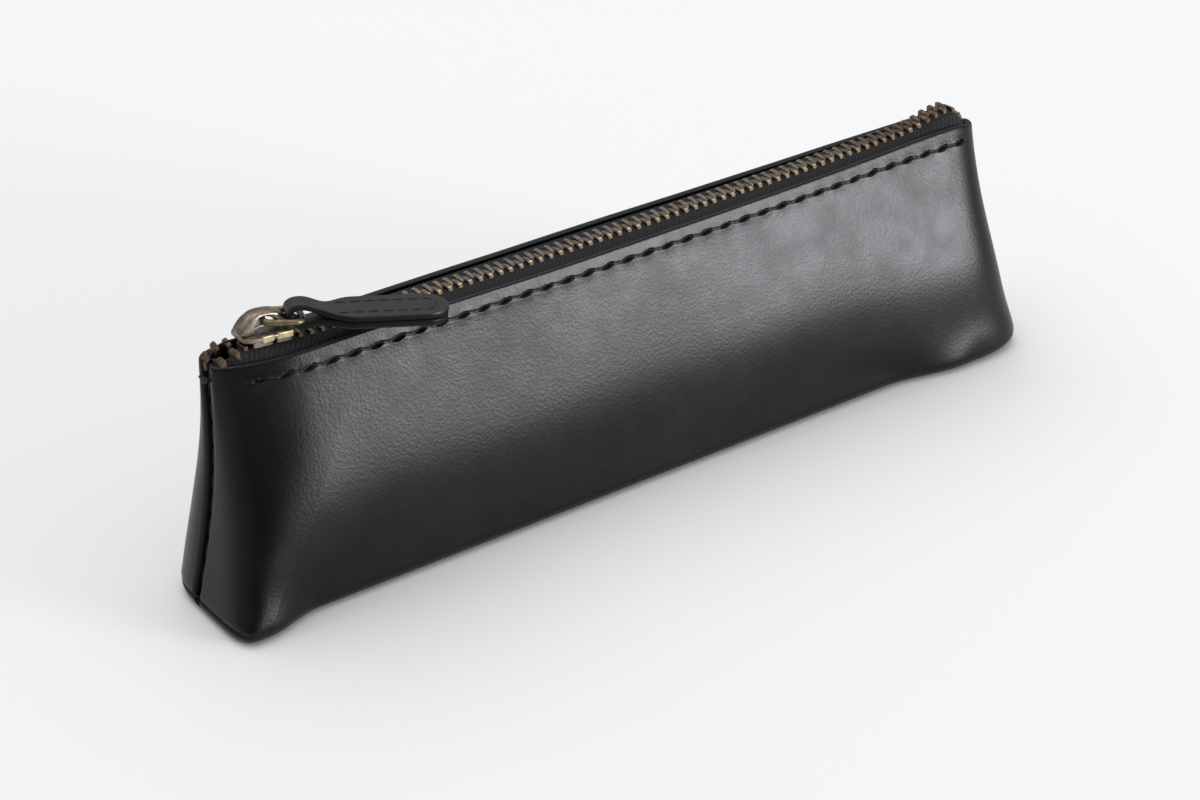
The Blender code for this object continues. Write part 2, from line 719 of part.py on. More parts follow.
# Pull
def make_pull_link(material):
    """A rectangular wire ring: one short side in the crown, one in the strap's loop."""
    shape = Shape()
    half = LINK_INNER_WIDTH / 2 + LINK_WIRE / 2
    corners = [(0.0, -half), (LINK_LENGTH, -half), (LINK_LENGTH, half), (0.0, half)]
    bend = LINK_WIRE * LINK_BEND_SHARE
    path = []
    for i, (x, y) in enumerate(corners):
        corner = Vector((x, y, 0.0))
        before = (Vector((*corners[i - 1], 0.0)) - corner).normalized()
        after = (Vector((*corners[(i + 1) % 4], 0.0)) - corner).normalized()
        centre = corner + (before + after) * bend
        for k in range(LINK_TURN_STEPS + 1):
            angle = math.pi / 2 * k / LINK_TURN_STEPS
            path.append(centre - after * bend * math.cos(angle) - before * bend * math.sin(angle))
    rings = []
    for i, point in enumerate(path):
        tangent = (path[(i + 1) % len(path)] - path[i - 1]).normalized()
        across = tangent.cross(Vector((0.0, 0.0, 1.0)))
        ring = []
        for k in range(LINK_SIDES):
            angle = 2 * math.pi * k / LINK_SIDES
            ring.append(point + across * math.cos(angle) * LINK_WIRE / 2
                        + Vector((0.0, 0.0, math.sin(angle) * LINK_WIRE / 2)))
        rings.append(shape.add_points(ring))
    for i, ring in enumerate(rings):
        shape.add_band(ring, rings[(i + 1) % len(rings)])
    link = shape.build("pull_link", material, PULL_FRAME, METAL_SMOOTH_ANGLE)
    set_origin(link, PIVOT)
    return link


def strap_half_width(reach):
    """Half width of the strap: narrow at the loop, full width, then a round end."""
    loop_end = LINK_WIRE + STRAP_LEATHER
    grow = smooth_step((reach - loop_end) / (STRAP_WIDTH * STRAP_SHOULDER_SHARE))
    width = mix(STRAP_LOOP_WIDTH, STRAP_WIDTH, grow) / 2
    end = STRAP_LENGTH - STRAP_WIDTH / 2
    if reach > end:
        over = min((reach - end) / (STRAP_LENGTH - end), 1.0)
        width *= math.sqrt(max(1.0 - over ** 2, 0.0))
    return width


def strap_path():
    """Middle line of the leather strip: along the under ply, round the bar and back."""
    ply = (STRAP_LEATHER + STRAP_PLY_GAP) / 2
    loop = LINK_WIRE / 2 + CLEARANCE + STRAP_LEATHER / 2
    body = STRAP_LENGTH - STRAP_WIDTH / 2
    neck = loop * LOOP_NECK_SHARE
    reaches = [mix(body, STRAP_LENGTH, share) for share in STRAP_TIP_SHARES]
    reaches += [mix(body, neck, share) for share in STRAP_BODY_SHARES]
    lower = [(reach, -ply) for reach in reaches]
    turn = []
    for i in range(LOOP_STEPS + 1):
        angle = -LOOP_OPENING - 2 * (math.pi - LOOP_OPENING) * i / LOOP_STEPS
        turn.append((loop * math.cos(angle), loop * math.sin(angle)))
    upper = [(reach, ply) for reach in reversed(reaches)]
    return lower + turn + upper


def make_pull_strap(material):
    """One strip of leather folded over the ring's bar and sewn to itself."""
    shape = Shape()
    path = [Vector((x, z)) for x, z in strap_path()]
    rings = []
    for i, point in enumerate(path):
        before = path[max(i - 1, 0)]
        after = path[min(i + 1, len(path) - 1)]
        tangent = (after - before).normalized()
        normal = Vector((-tangent.y, tangent.x)) * STRAP_LEATHER / 2
        half = strap_half_width(max(point.x, 0.0))
        low = point - normal
        high = point + normal
        rings.append([(LINK_LENGTH + low.x, -half, low.y), (LINK_LENGTH + low.x, half, low.y),
                      (LINK_LENGTH + high.x, half, high.y), (LINK_LENGTH + high.x, -half, high.y)])
    shape.add_loft(rings)
    strap = shape.build("pull_strap", material, PULL_FRAME, LEATHER_SMOOTH_ANGLE)
    set_origin(strap, PULL_FRAME @ Vector((LINK_LENGTH, 0.0, 0.0)))
    return strap


def make_pull_thread(material):
    """The strand sewn along both sides of the strap and round its end."""
    across = STRAP_WIDTH / 2 - STRAP_STITCH_INSET
    straight = STRAP_LENGTH - STRAP_WIDTH / 2 - STRAP_STITCH_START
    turn = math.pi * across
    surface = STRAP_LEATHER + STRAP_PLY_GAP / 2

    def place(distance):
        if distance < straight:
            x, y = distance, -across
        elif distance > straight + turn:
            x, y = 2 * straight + turn - distance, across
        else:
            angle = (distance - straight) / across - math.pi / 2
            x, y = straight + across * math.cos(angle), across * math.sin(angle)
        return Vector((LINK_LENGTH + STRAP_STITCH_START + x, y, surface)), Vector((0.0, 0.0, 1.0))

    shape = Shape()
    shape.add_strand(place, 2 * straight + turn, STRAP_STITCH_PITCH, THREAD_WIDTH, THREAD_THICKNESS)
    thread = shape.build("pull_thread", material, PULL_FRAME)
    set_origin(thread, PULL_FRAME @ Vector((LINK_LENGTH, 0.0, 0.0)))
    return thread


def leather_material():
    return make_material("black_leather", (0.020, 0.020, 0.021), 0.45)


def strap_material():
    return make_material("strap_leather", (0.023, 0.023, 0.024), 0.48)


def tape_material():
    return make_material("black_tape", (0.012, 0.012, 0.014), 0.85)


def thread_material():
    return make_material("black_thread", (0.010, 0.010, 0.011), 0.60)


def tooth_material():
    return make_material("aged_brass_teeth", (0.42, 0.32, 0.21), 0.38, 1.0)


def hardware_material():
    return make_material("aged_brass_hardware", (0.46, 0.34, 0.21), 0.32, 1.0)


def spring_material():
    return make_material("spring_steel", (0.45, 0.45, 0.46), 0.35, 1.0)


def build_case():
    clear_scene()
    thread = thread_material()
    tape = tape_material()
    teeth = tooth_material()
    hardware = hardware_material()
    make_leather_body(leather_material())
    for word, side in (("front", -1), ("back", 1)):
        make_tape("zip_tape_" + word, side, tape)
        make_teeth("zip_teeth_" + word, side, teeth)
        make_top_stop("top_stop_" + word, side, teeth)
        make_edge_thread(word + "_edge_thread", side, thread)
    for word, side in (("left", -1), ("right", 1)):
        make_end_seam_thread(word + "_end_seam_thread", side, thread)
        make_corner_seam_thread(word + "_corner_seam_thread", side, thread)
    make_bottom_stop(teeth)
    make_slider_body(hardware)
    make_crown(hardware)
    make_lock_spring(spring_material())
    make_pull_link(hardware)
    make_pull_strap(strap_material())
    make_pull_thread(thread)


build_case()
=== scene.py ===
"""Looks of a slim black leather pen case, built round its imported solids.

The case lies along X, its front faces -Y, and its base rests on z = 0. Sizes are in
millimetres up to the point where a mesh is made, and in metres from there on.
"""
import math

import bmesh
import bpy
import numpy as np
from mathutils import Matrix, Vector


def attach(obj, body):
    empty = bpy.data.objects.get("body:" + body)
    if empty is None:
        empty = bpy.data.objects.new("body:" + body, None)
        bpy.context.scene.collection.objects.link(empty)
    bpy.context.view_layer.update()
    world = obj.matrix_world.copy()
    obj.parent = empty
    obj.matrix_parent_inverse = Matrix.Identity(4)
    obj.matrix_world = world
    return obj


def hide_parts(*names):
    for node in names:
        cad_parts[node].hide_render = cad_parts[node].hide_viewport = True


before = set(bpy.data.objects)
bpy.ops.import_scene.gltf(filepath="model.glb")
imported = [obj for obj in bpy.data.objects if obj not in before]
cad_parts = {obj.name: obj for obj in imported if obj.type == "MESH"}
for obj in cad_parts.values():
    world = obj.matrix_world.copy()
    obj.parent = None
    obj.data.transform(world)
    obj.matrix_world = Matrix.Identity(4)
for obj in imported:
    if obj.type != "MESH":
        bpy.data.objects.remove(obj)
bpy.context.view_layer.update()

MM = 0.001
SLOPE_STEP = 0.3
BEVEL_ANGLE = math.radians(35)

# Leather case
CASE_LENGTH = 207.2
END_LEAN = 8.6
END_HOLLOW = 2.1
LEFT_EDGE_SHARE = 0.40
RIGHT_BASE_PULL = 1.5
RIGHT_TOP_PUSH = 0.9
CASE_HEIGHT = 52.8
BASE_DEPTH = 33.0
CORNER_DEPTH = 39.6
LEATHER = 1.3
BASE_EDGE_RADIUS = 3.2
WALL_BULGE = 2.4
KNEE_RISE = 0.40
KNEE_SHARPNESS = 4.0
# Flare of the walls towards each end: side, middle, length
FLARES = ((-1, 90.5, 13.0), (1, 71.5, 19.0))
FLARE_GROWTH = 2.6
FLARE_GROWTH_RISE = 0.22
FLARE_POWER = 1.5
# Corners by side and face: run at the base, run at the top, squareness at the base
CORNERS = {(-1, -1): (6.0, 30.0, 5.0), (-1, 1): (19.5, 30.0, 2.9),
           (1, -1): (17.5, 10.0, 3.2), (1, 1): (17.5, 10.0, 3.2)}
TOP_SQUARENESS = 3.2
RIM_RADIUS = 0.28
RIM_LIFT = 0.10
RIM_SLOPE = 0.24
RIM_CROWN = 0.04
LEFT_LEAN = 1.2
LEAN_START = 78.0
LEAN_REACH = 16.0
END_COUNT = 72
WALL_COUNT = 460
FINE_COUNT = 600
# Slow waves of the walls: height, turn along X, turn up, start on each face
WAVES = ((0.22, 0.052, 0.02, 1.1), (0.14, 0.113, -0.07, 1.0))
# Folds near the right end: place, lean, width, depth
FOLDS = ((57.0, -0.9, 1.2, 0.05), (61.0, -0.8, 1.0, 0.07),
         (65.5, -0.9, 1.1, 0.07), (70.5, -0.8, 1.3, 0.05))
FOLD_PIVOT = 38.0
FOLD_MIDDLE = 39.0
FOLD_REACH = 6.0
SWELL_POWER = 1.2

# Seams and stitches of the case
SEAM_DEPTH = 1.6
LEFT_SEAM_EXTRA = 0.6
LEFT_SEAM_WIDTH = 1.25
LEFT_SEAM_GROWTH = 0.75
SEAM_OPENING = 0.8
SEAM_CLEAR = 0.3
SEAM_STILL = 1.2
# Steps from a seam's middle outwards: distance off it, share of its depth
INNER_SEAM = ((0.9, 1.0), (1.0, 0.5), (1.2, 0.0), (1.6, 0.0), (2.0, 0.0))
OUTER_SEAM = ((0.16, 1.0), (0.42, 0.82), (0.68, 0.40), (1.0, 0.10), (1.5, 0.0))
SEAM_SHADE = np.array((1.0, 1.0, 0.8, 0.3))
SEAM_SOFT = 3.0
SEAM_ALLOWANCE = 6.0
SEAM_ALLOWANCE_TOP = 2.0
SEAM_ALLOWANCE_FADE = 14.0
BASE_SEAM_HEIGHT = 2.7
BASE_SEAM_LIP = 0.9
BASE_SEAM_DEPTH = 0.8
BASE_SEAM_FADE = 0.6
BASE_SEAM_SHARES = (-1.0, -0.55, -0.25, 0.0, 0.25, 0.55, 1.0)
BASE_SEAM_WIDTH_SHARE = 0.42
STITCH_DROP = 3.2
STITCH_MIDDLE_RISE = 0.35
STITCH_PITCH = 5.02
STITCH_START = -89.2
STITCH_COUNT = 36
HOLE_DEPTH = 0.95
HOLE_LENGTH = 1.15
HOLE_WIDTH = 0.52
HOLE_EDGE = 0.62
GROOVE_DEPTH = 0.10
GROOVE_WIDTH = 0.20
GROOVE_SHADE = 0.35
DENT_REACH = 2.6
PUCKER = 0.12
PUCKER_LENGTH = 1.6
PUCKER_WIDTH = 0.95
THREAD_WAVE = 0.16
THREAD_WAVE_START = 0.6
# One stitch of an edge: place along, height over the leather, radius
THREAD_STEPS = ((-0.5, -0.78, 0.40), (0.5, -0.78, 0.40), (0.95, -0.48, 0.30),
                (1.35, -0.24, 0.20), (1.9, -0.18, 0.17), (2.5, -0.17, 0.17),
                (3.1, -0.18, 0.17), (3.65, -0.24, 0.20), (4.05, -0.48, 0.30))
END_STITCHES = 9
# Sunk threads: depth, rise of each stitch, radius in a hole, growth of it
END_THREAD = (1.25, 0.25, 0.18, 0.10)
CORNER_THREAD = (0.95, 0.35, 0.16, 0.08)
# Turn of thread that ends the left seam: half across, half up, height over the end, radius
KNOT = (1.35, 0.30, 0.10, 0.34)
KNOT_BEND = 0.25
KNOT_STEPS = 24
CORNER_STITCHES = 6
CORNER_SEAM_REACH = 12.5

# Zip
ZIP_Z = 52.5
TOOTH_PITCH = 2.44
TOOTH_CUT = 0.16
TOOTH_WOBBLE = 0.03
TEETH_LEFT_END = -87.2
TEETH_RIGHT_END = 91.6
BACK_TEETH_SHIFT = 0.15
# Teeth outside this span take the darker brass: painted shade at the left end near the slider and under
# the strap, and a plain darker tone on the raised right end.
PLAIN_TEETH_SPAN = (-61.0, 83.0)
TAPE_THICKNESS = 0.6
TAPE_GAP = 0.30
TAPE_SKIRT = 9.5
TAPE_LEFT_END = -93.8
TAPE_RIGHT_END = 93.8
# The corded edge: distance off the inner edge, half thickness
TAPE_CORD = ((0.0, 0.52), (0.45, 0.50), (0.9, 0.30))
STRIP_SHARES = (0.30, 0.55, 0.78, 0.92)
SKIRT_SHARES = (0.12, 0.3, 0.6, 1.0)
SHOULDER_DROP = 0.95
SHOULDER_TURN = 0.25
STOP_STRETCH = 1.3
BOTTOM_STOP_X = 92.9
# Half of the bottom clip's height across it
BOTTOM_STOP = ((-1.9, 0.7), (-1.6, 1.0), (1.6, 1.0), (1.9, 0.7))
BOTTOM_STOP_HALF = 0.9

# Slider and pull
PLATE = 0.9
PULL_YAW = math.radians(-18.5)
PULL_TILT = math.radians(7.5)
PIVOT = Vector((-82.0, 0.0, 59.3))
LINK_LENGTH = 7.8
LINK_WIRE = 1.3
LINK_INNER_WIDTH = 4.7
LINK_BEND = 1.5
STRAP_LENGTH = 29.4
STRAP_WIDTH = 9.5
STRAP_LOOP_WIDTH = 4.3
STRAP_LEATHER = 1.3
STRAP_CUT = 0.30
STRAP_LOOP = ((4.8, -0.76), (3.2, -0.98), (1.6, -1.28), (0.3, -1.42), (-1.0, -1.18),
              (-1.95, -0.40), (-2.6, 0.55), (-2.65, 1.35), (-2.1, 2.10), (-1.0, 2.50),
              (0.3, 2.50), (1.7, 2.15), (3.2, 1.55), (4.7, 0.98))
STRAP_LOOP_END = 6.2
PULL_FRAME = (Matrix.Translation(PIVOT) @ Matrix.Rotation(PULL_YAW, 4, "Z")
              @ Matrix.Rotation(PULL_TILT, 4, "Y"))


def smooth_step(share):
    share = np.clip(share, 0.0, 1.0)
    return share * share * (3.0 - 2.0 * share)


def mix(start, end, share):
    return start + (end - start) * share


def bell(distance, width):
    return np.exp(-(distance / width) ** 2 / 2)


def curve_at(x, xs, ys):
    """A smooth curve through the given points, level at both of its ends."""
    i = int(np.clip(np.searchsorted(xs, x) - 1, 0, len(xs) - 2))
    share = min(max((x - xs[i]) / (xs[i + 1] - xs[i]), 0.0), 1.0)

    def slope(k):
        if k <= 0 or k >= len(xs) - 1:
            return 0.0
        return (ys[k + 1] - ys[k - 1]) / (xs[k + 1] - xs[k - 1])

    step = xs[i + 1] - xs[i]
    return (ys[i] * (1 + 2 * share) * (1 - share) ** 2 + ys[i + 1] * share ** 2 * (3 - 2 * share)
            + step * share * (1 - share) * (slope(i) * (1 - share) - slope(i + 1) * share))


def path_side(path, i):
    """Unit direction to the left of a flat path at one of its points."""
    before, after = path[max(i - 1, 0)], path[min(i + 1, len(path) - 1)]
    along, up = after[0] - before[0], after[1] - before[1]
    size = math.hypot(along, up)
    return -up / size, along / size


def cut_box(half, high, cut):
    """A rectangle round the middle with its corners cut."""
    return ((half, high - cut), (half - cut, high), (cut - half, high), (-half, high - cut),
            (-half, cut - high), (cut - half, -high), (half - cut, -high), (half, cut - high))


def add_object(name, data):
    item = bpy.data.objects.new(name, data)
    bpy.context.scene.collection.objects.link(item)
    return item


# Meshes
class Skin:
    """Points and faces of one piece, gathered from one or more closed bodies."""

    def __init__(self):
        self.points = []
        self.faces = []
        self.marks = []

    def add_ring(self, points):
        first = len(self.points)
        self.points.extend(tuple(float(c) for c in point) for point in points)
        return list(range(first, len(self.points)))

    def add_face(self, ring, mark=0):
        self.faces.append(tuple(ring))
        self.marks.append(mark)

    def add_band(self, ring, next_ring, mark=0):
        for i, j in enumerate([*range(1, len(ring)), 0]):
            self.add_face((ring[i], ring[j], next_ring[j], next_ring[i]), mark)

    def add_loft(self, rings, marks=None):
        """Join rings of equal count into one closed body with flat caps."""
        marks = marks or [0] * len(rings)
        indices = [self.add_ring(ring) for ring in rings]
        for ring, next_ring, mark in zip(indices, indices[1:], marks):
            self.add_band(ring, next_ring, mark)
        self.add_face(reversed(indices[0]), marks[0])
        self.add_face(indices[-1], marks[-1])

    def add_tube(self, path, radius, sides=8, closed=False):
        """A round strand along a path; radius is one number or one for each point."""
        path = [Vector(point) for point in path]
        count = len(path)
        radii = [radius] * count if isinstance(radius, float) else radius
        wide = [path[-1], *path, path[0]] if closed else [path[0], *path, path[-1]]
        rings = []
        for i, point in enumerate(path):
            tangent = (wide[i + 2] - wide[i]).normalized()
            across = tangent.cross(Vector((0.0, 0.0, 1.0))).normalized()
            lift = across.cross(tangent)
            rings.append(self.add_ring(
                [point + (across * math.cos(a) + lift * math.sin(a)) * radii[i]
                 for a in (2 * math.pi * k / sides for k in range(sides))]))
        for i in range(count if closed else count - 1):
            self.add_band(rings[i], rings[(i + 1) % count])
        if not closed:
            self.add_face(reversed(rings[0]))
            self.add_face(rings[-1])

    def build(self, name, materials, transform=Matrix(), sharp=math.radians(40), bevel=0.0, steps=2):
        mesh = bpy.data.meshes.new(name)
        mesh.from_pydata(self.points, [], self.faces)
        mesh.transform(Matrix.Scale(MM, 4) @ transform)
        mesh.polygons.foreach_set("material_index", self.marks)
        edit = bmesh.new()
        edit.from_mesh(mesh)
        bmesh.ops.recalc_face_normals(edit, faces=edit.faces)
        edit.to_mesh(mesh)
        edit.free()
        mesh.shade_smooth()
        mesh.set_sharp_from_angle(angle=sharp)
        item = add_object(name, mesh)
        for material in materials:
            mesh.materials.append(material)
        if bevel:
            edge = item.modifiers.new("Edge", "BEVEL")
            edge.width = bevel * MM
            edge.segments = steps
            edge.limit_method = "ANGLE"
            edge.angle_limit = BEVEL_ANGLE
            edge.harden_normals = True
        return item


# Shape of the case
def rise_share(z):
    return min(max((z - BASE_SEAM_HEIGHT) / (CASE_HEIGHT - BASE_SEAM_HEIGHT), 0.0), 1.0)


def base_edge_inset(z):
    below = max(BASE_EDGE_RADIUS - z, 0.0)
    return BASE_EDGE_RADIUS - math.sqrt(BASE_EDGE_RADIUS ** 2 - below ** 2)


def half_length(side, z):
    rise = rise_share(z)
    length = CASE_LENGTH / 2 - END_LEAN * rise - END_HOLLOW * math.sin(math.pi * rise)
    if side < 0:
        return length - LEFT_EDGE_SHARE * base_edge_inset(z)
    pulled = RIGHT_BASE_PULL * (1.0 - rise) ** 2 - RIGHT_TOP_PUSH * rise ** 6
    return length - base_edge_inset(z) - pulled


# Half depth of the mouth along the case, in front and behind, and how far its edge sags
MOUTH_X = (-60.0, -40.0, -20.0, 0.0, 20.0, 40.0, 60.0, 70.0, 80.0, 95.0)
FRONT_MOUTH = (7.1, 7.1, 7.15, 7.1, 7.05, 6.75, 6.4, 6.2, 6.0, 5.9)
BACK_MOUTH = (7.1, 7.4, 7.65, 7.5, 6.95, 6.55, 6.0, 5.4, 4.8, 4.4)
SAG_X = (-60.0, -40.0, -20.0, 20.0, 45.0, 60.0, 70.0, 80.0, 88.0, 91.0, 95.0)
SAG = (0.0, 0.25, 0.60, 0.60, 0.58, 0.42, 0.20, 0.0, 0.0, 0.35, 1.4)
WALL_X = np.linspace(-110.0, 110.0, 441)
WALL_MOUTH = {face: [curve_at(x, MOUTH_X, mouth) for x in WALL_X]
              for face, mouth in ((-1, FRONT_MOUTH), (1, BACK_MOUTH))}
WALL_SAG = [curve_at(x, SAG_X, SAG) for x in WALL_X]


def sag(x, z=CASE_HEIGHT):
    """How far the leather has settled at a place, most at its upper edge."""
    return np.interp(x, WALL_X, WALL_SAG) * (z / CASE_HEIGHT) ** 3


def bulge_share(rise):
    """How far a wall stands out: steep below its knee, leaning above."""
    below = rise / KNEE_RISE
    above = (1.0 - rise) / (1.0 - KNEE_RISE)
    sharp = KNEE_SHARPNESS
    return below * above / (below ** sharp + above ** sharp) ** (1.0 / sharp)


def long_wall_depth(face, x, z):
    rise = rise_share(z)
    mouth = np.interp(x, WALL_X, WALL_MOUTH[face])
    depth = mix(BASE_DEPTH / 2, mouth, rise) + WALL_BULGE * bulge_share(rise)
    flare = (CORNER_DEPTH - BASE_DEPTH) / 2 * (1.0 - rise ** FLARE_POWER)
    grown = 1.0 + FLARE_GROWTH * smooth_step(rise / FLARE_GROWTH_RISE)
    for side, middle, length in FLARES:
        depth = depth + flare * smooth_step((side * x - middle) / (length * grown) + 0.5)
    return depth - base_edge_inset(z)


def corner_shape(side, face, z, inset):
    rise = rise_share(z)
    run_base, run_top, base_square = CORNERS[side, face]
    length = half_length(side, z) - inset
    run = mix(run_base, run_top, rise)
    depth = long_wall_depth(face, side * (length - run), z) - inset
    square = mix(TOP_SQUARENESS, base_square, (1.0 - rise) ** 3)
    return length, run, depth, square


def wall_depth(face, x, z, inset=0.0):
    length, run, depth, square = corner_shape(-1 if x < 0 else 1, face, z, inset)
    over = (abs(x) - (length - run)) / run
    if over <= 0.0:
        return long_wall_depth(face, x, z) - inset
    return depth * (1.0 - min(over, 1.0) ** square) ** (1.0 / square)


def end_reach(side, y, z, inset=0.0):
    length, run, depth, square = corner_shape(side, -1 if y < 0 else 1, z, inset)
    return length - run + run * (1.0 - min(abs(y) / depth, 1.0) ** square) ** (1.0 / square)


def seam_profile(side, z, inset):
    """Steps from the seam's middle outwards: (distance off the seam, depth)."""
    if inset:
        fade = smooth_step((CASE_HEIGHT - z) / SEAM_ALLOWANCE_FADE)
        deep = mix(SEAM_ALLOWANCE_TOP, SEAM_ALLOWANCE, fade)
        return [(off, deep * share) for off, share in INNER_SEAM]
    deep = SEAM_DEPTH * smooth_step((z - BASE_SEAM_HEIGHT) / SEAM_OPENING + 0.5)
    wide = 1.0
    if side < 0:
        deep *= 1.0 + LEFT_SEAM_EXTRA / SEAM_DEPTH
        wide = LEFT_SEAM_WIDTH + LEFT_SEAM_GROWTH * (z / CASE_HEIGHT) ** 2
    return [(off * wide, deep * share) for off, share in OUTER_SEAM]


def end_curve(side, face, z, inset, groove):
    """Half of one end in plan, from its seam to the long wall, evenly spaced."""
    length, run, depth, square = corner_shape(side, face, z, inset)
    seam = seam_profile(side, z, inset)
    start = seam[-1][0]
    turn = np.linspace(0.0, 1.0, FINE_COUNT) ** 2 * math.pi / 2
    along = length - run + run * np.maximum(np.cos(turn), 0.0) ** (2.0 / square)
    off = depth * np.sin(turn) ** (2.0 / square)
    keep = off > start + SEAM_CLEAR
    along = np.append(end_reach(side, face * start, z, inset), along[keep])
    off = np.append(start, off[keep])
    walked = np.append(0.0, np.cumsum(np.hypot(np.diff(along), np.diff(off))))
    places = np.linspace(0.0, walked[-1], END_COUNT + 1)[1:]
    xs = [end_reach(side, face * y, z, inset) - d for y, d in seam]
    ys = [y for y, d in seam]
    xs = np.append(xs, np.interp(places, walked, along))
    ys = np.append(ys, np.interp(places, walked, off))
    share = np.append(np.zeros(len(seam)), places / walked[-1])
    faded = BASE_SEAM_FADE if side < 0 else BASE_SEAM_FADE / 2
    fade = 1.0 - smooth_step((share - faded) / (1.0 - BASE_SEAM_FADE))
    return side * (xs - groove * fade), ys


def side_curve(face, z, inset, groove):
    """One long side in plan, from the left seam to the right seam."""
    left_x, left_y = end_curve(-1, face, z, inset, groove)
    right_x, right_y = end_curve(1, face, z, inset, groove)
    xs = np.linspace(left_x[-1], right_x[-1], WALL_COUNT + 2)[1:-1]
    ys = long_wall_depth(face, xs, z) - inset
    return np.hstack((left_x, xs, right_x[::-1])), np.hstack((left_y, ys, right_y[::-1]))


def outward(xs, ys):
    """Unit directions square to a curve in plan, pointing away from the middle."""
    dx = np.gradient(xs)
    dy = np.gradient(ys)
    size = np.hypot(dx, dy) + 1e-9
    return -dy / size, dx / size


def wall_swell(face, xs, z):
    """Soft swells and hollows of the leather, fading out at both edges."""
    hold = math.sin(math.pi * min(max(z / CASE_HEIGHT, 0.0), 1.0)) ** SWELL_POWER
    swell = sum(high * np.sin(xs * along + z * up + face * start) for high, along, up, start in WAVES)
    for x, lean, width, deep in FOLDS:
        across = xs - x - (z - FOLD_PIVOT) * lean
        swell = swell - deep * bell(across, width) * bell(z - FOLD_MIDDLE, FOLD_REACH)
    return swell * hold


STITCH_DRAW = np.random.default_rng(11)
STITCH_TURN = STITCH_DRAW.normal(0.12, 0.05, STITCH_COUNT)
STITCH_SIZE = np.clip(STITCH_DRAW.normal(1.0, 0.06, STITCH_COUNT), 0.85, 1.12)


def stitch_drop(x):
    """How far below the edge the stitches run: a little nearer to it in the middle."""
    middle = smooth_step((x + 60.0) / 40.0) * (1.0 - smooth_step((x - 60.0) / 25.0))
    return STITCH_DROP - STITCH_MIDDLE_RISE * middle


def stitch_wave(reach):
    """How far the thread lies above its line, so many stitches along."""
    return THREAD_WAVE * np.sin(reach * 2 * math.pi + THREAD_WAVE_START)


def stitch_dent(xs, z):
    """Depth of the stitch holes and of the thread's bed between them, and the painted shade laid in
    both.
    """
    off = z - CASE_HEIGHT + stitch_drop(xs)
    if abs(z - CASE_HEIGHT + STITCH_DROP) > DENT_REACH:
        return np.zeros_like(xs), np.zeros_like(xs)
    reach = (xs - STITCH_START) / STITCH_PITCH - 0.5
    near = np.clip(np.round(reach), 0, STITCH_COUNT - 1)
    along = (reach - near) * STITCH_PITCH
    turned = STITCH_TURN[near.astype(int)]
    size = STITCH_SIZE[near.astype(int)]
    round_off = np.hypot(along / (HOLE_LENGTH * size), (off - turned * along) / (HOLE_WIDTH * size))
    hole = 1.0 - smooth_step((round_off - HOLE_EDGE) / HOLE_EDGE)
    inside = smooth_step((reach + 0.7) / 0.4) * smooth_step((STITCH_COUNT - 0.3 - reach) / 0.4)
    bed = bell(off - stitch_wave(reach), GROOVE_WIDTH) * inside
    pucker = PUCKER * bell(along, PUCKER_LENGTH) * bell(off, PUCKER_WIDTH)
    return HOLE_DEPTH * hole + GROOVE_DEPTH * bed - pucker, np.maximum(hole, GROOVE_SHADE * bed)


def lean_end(xs, ys, z):
    """The left end's upper edge leans back a little."""
    return ys + LEFT_LEAN * smooth_step((-xs - LEAN_START) / LEAN_REACH) * (z / CASE_HEIGHT) ** 2


def lean_at(x, z=ZIP_Z):
    return lean_end(x, 0.0, z)


def case_row(z, inset=0.0, groove=0.0, dents=True):
    """One closed row round the case, and how far each point lies in a hole, which sets the painted
    shade of the stitch holes, the thread's bed and the end seams.
    """
    rows = []
    for face in (-1, 1):
        xs, ys = side_curve(face, z, inset, groove)
        nx, ny = outward(xs, ys)
        lift = wall_swell(face, xs, z)
        hole = np.zeros_like(xs)
        if dents and not inset:
            dent, hole = stitch_dent(xs, z)
            lift = lift - dent
            for end in (hole[:len(SEAM_SHADE)], hole[::-1][:len(SEAM_SHADE)]):
                np.maximum(end, SEAM_SHADE, out=end)
        lift = lift * smooth_step((ys - SEAM_STILL) / SEAM_SOFT)
        xs = xs + nx * lift
        rows.append((xs, lean_end(xs, face * (ys + ny * lift), z), hole))
    xs, ys, hole = (np.append(front, back[::-1]) for front, back in zip(*rows))
    return np.column_stack((xs, ys, z - sag(xs, z))), hole


def rim_turn(share):
    """Drop and inset of the rounded rim at a share of its quarter turn."""
    angle = share * math.pi / 2
    return RIM_RADIUS * (1 - math.sin(angle)), RIM_RADIUS * (1 - math.cos(angle))


def rim_row(drop, inset):
    """A row of the cut upper edge, which lies square to the leather."""
    share = inset / LEATHER
    points = mix(case_row(CASE_HEIGHT, dents=False)[0], case_row(CASE_HEIGHT, LEATHER)[0], share)
    points[:, 2] = CASE_HEIGHT + RIM_LIFT - RIM_SLOPE * share - drop - sag(points[:, 0])
    return points


def outer_levels():
    """Heights of the outside's rows, and how deep each lies in the base seam."""
    line = CASE_HEIGHT - STITCH_DROP
    edge = BASE_EDGE_RADIUS * (1.0 - np.cos(np.linspace(0.0, math.pi / 2, 8)))
    levels = [(z, 0.0) for z in edge if z < BASE_SEAM_HEIGHT - BASE_SEAM_LIP]
    levels += [(BASE_SEAM_HEIGHT + off * BASE_SEAM_LIP,
                BASE_SEAM_DEPTH * math.exp(-(off / BASE_SEAM_WIDTH_SHARE) ** 2))
               for off in BASE_SEAM_SHARES]
    upper = (*np.linspace(BASE_SEAM_HEIGHT + 2 * BASE_SEAM_LIP, line - DENT_REACH, 24),
             *np.linspace(line - 2.3, line - 1.2, 4), *(line + np.arange(-1.0, 1.45, 0.14)),
             *np.linspace(line + 1.6, CASE_HEIGHT - RIM_RADIUS, 5))
    return levels + [(z, 0.0) for z in upper]


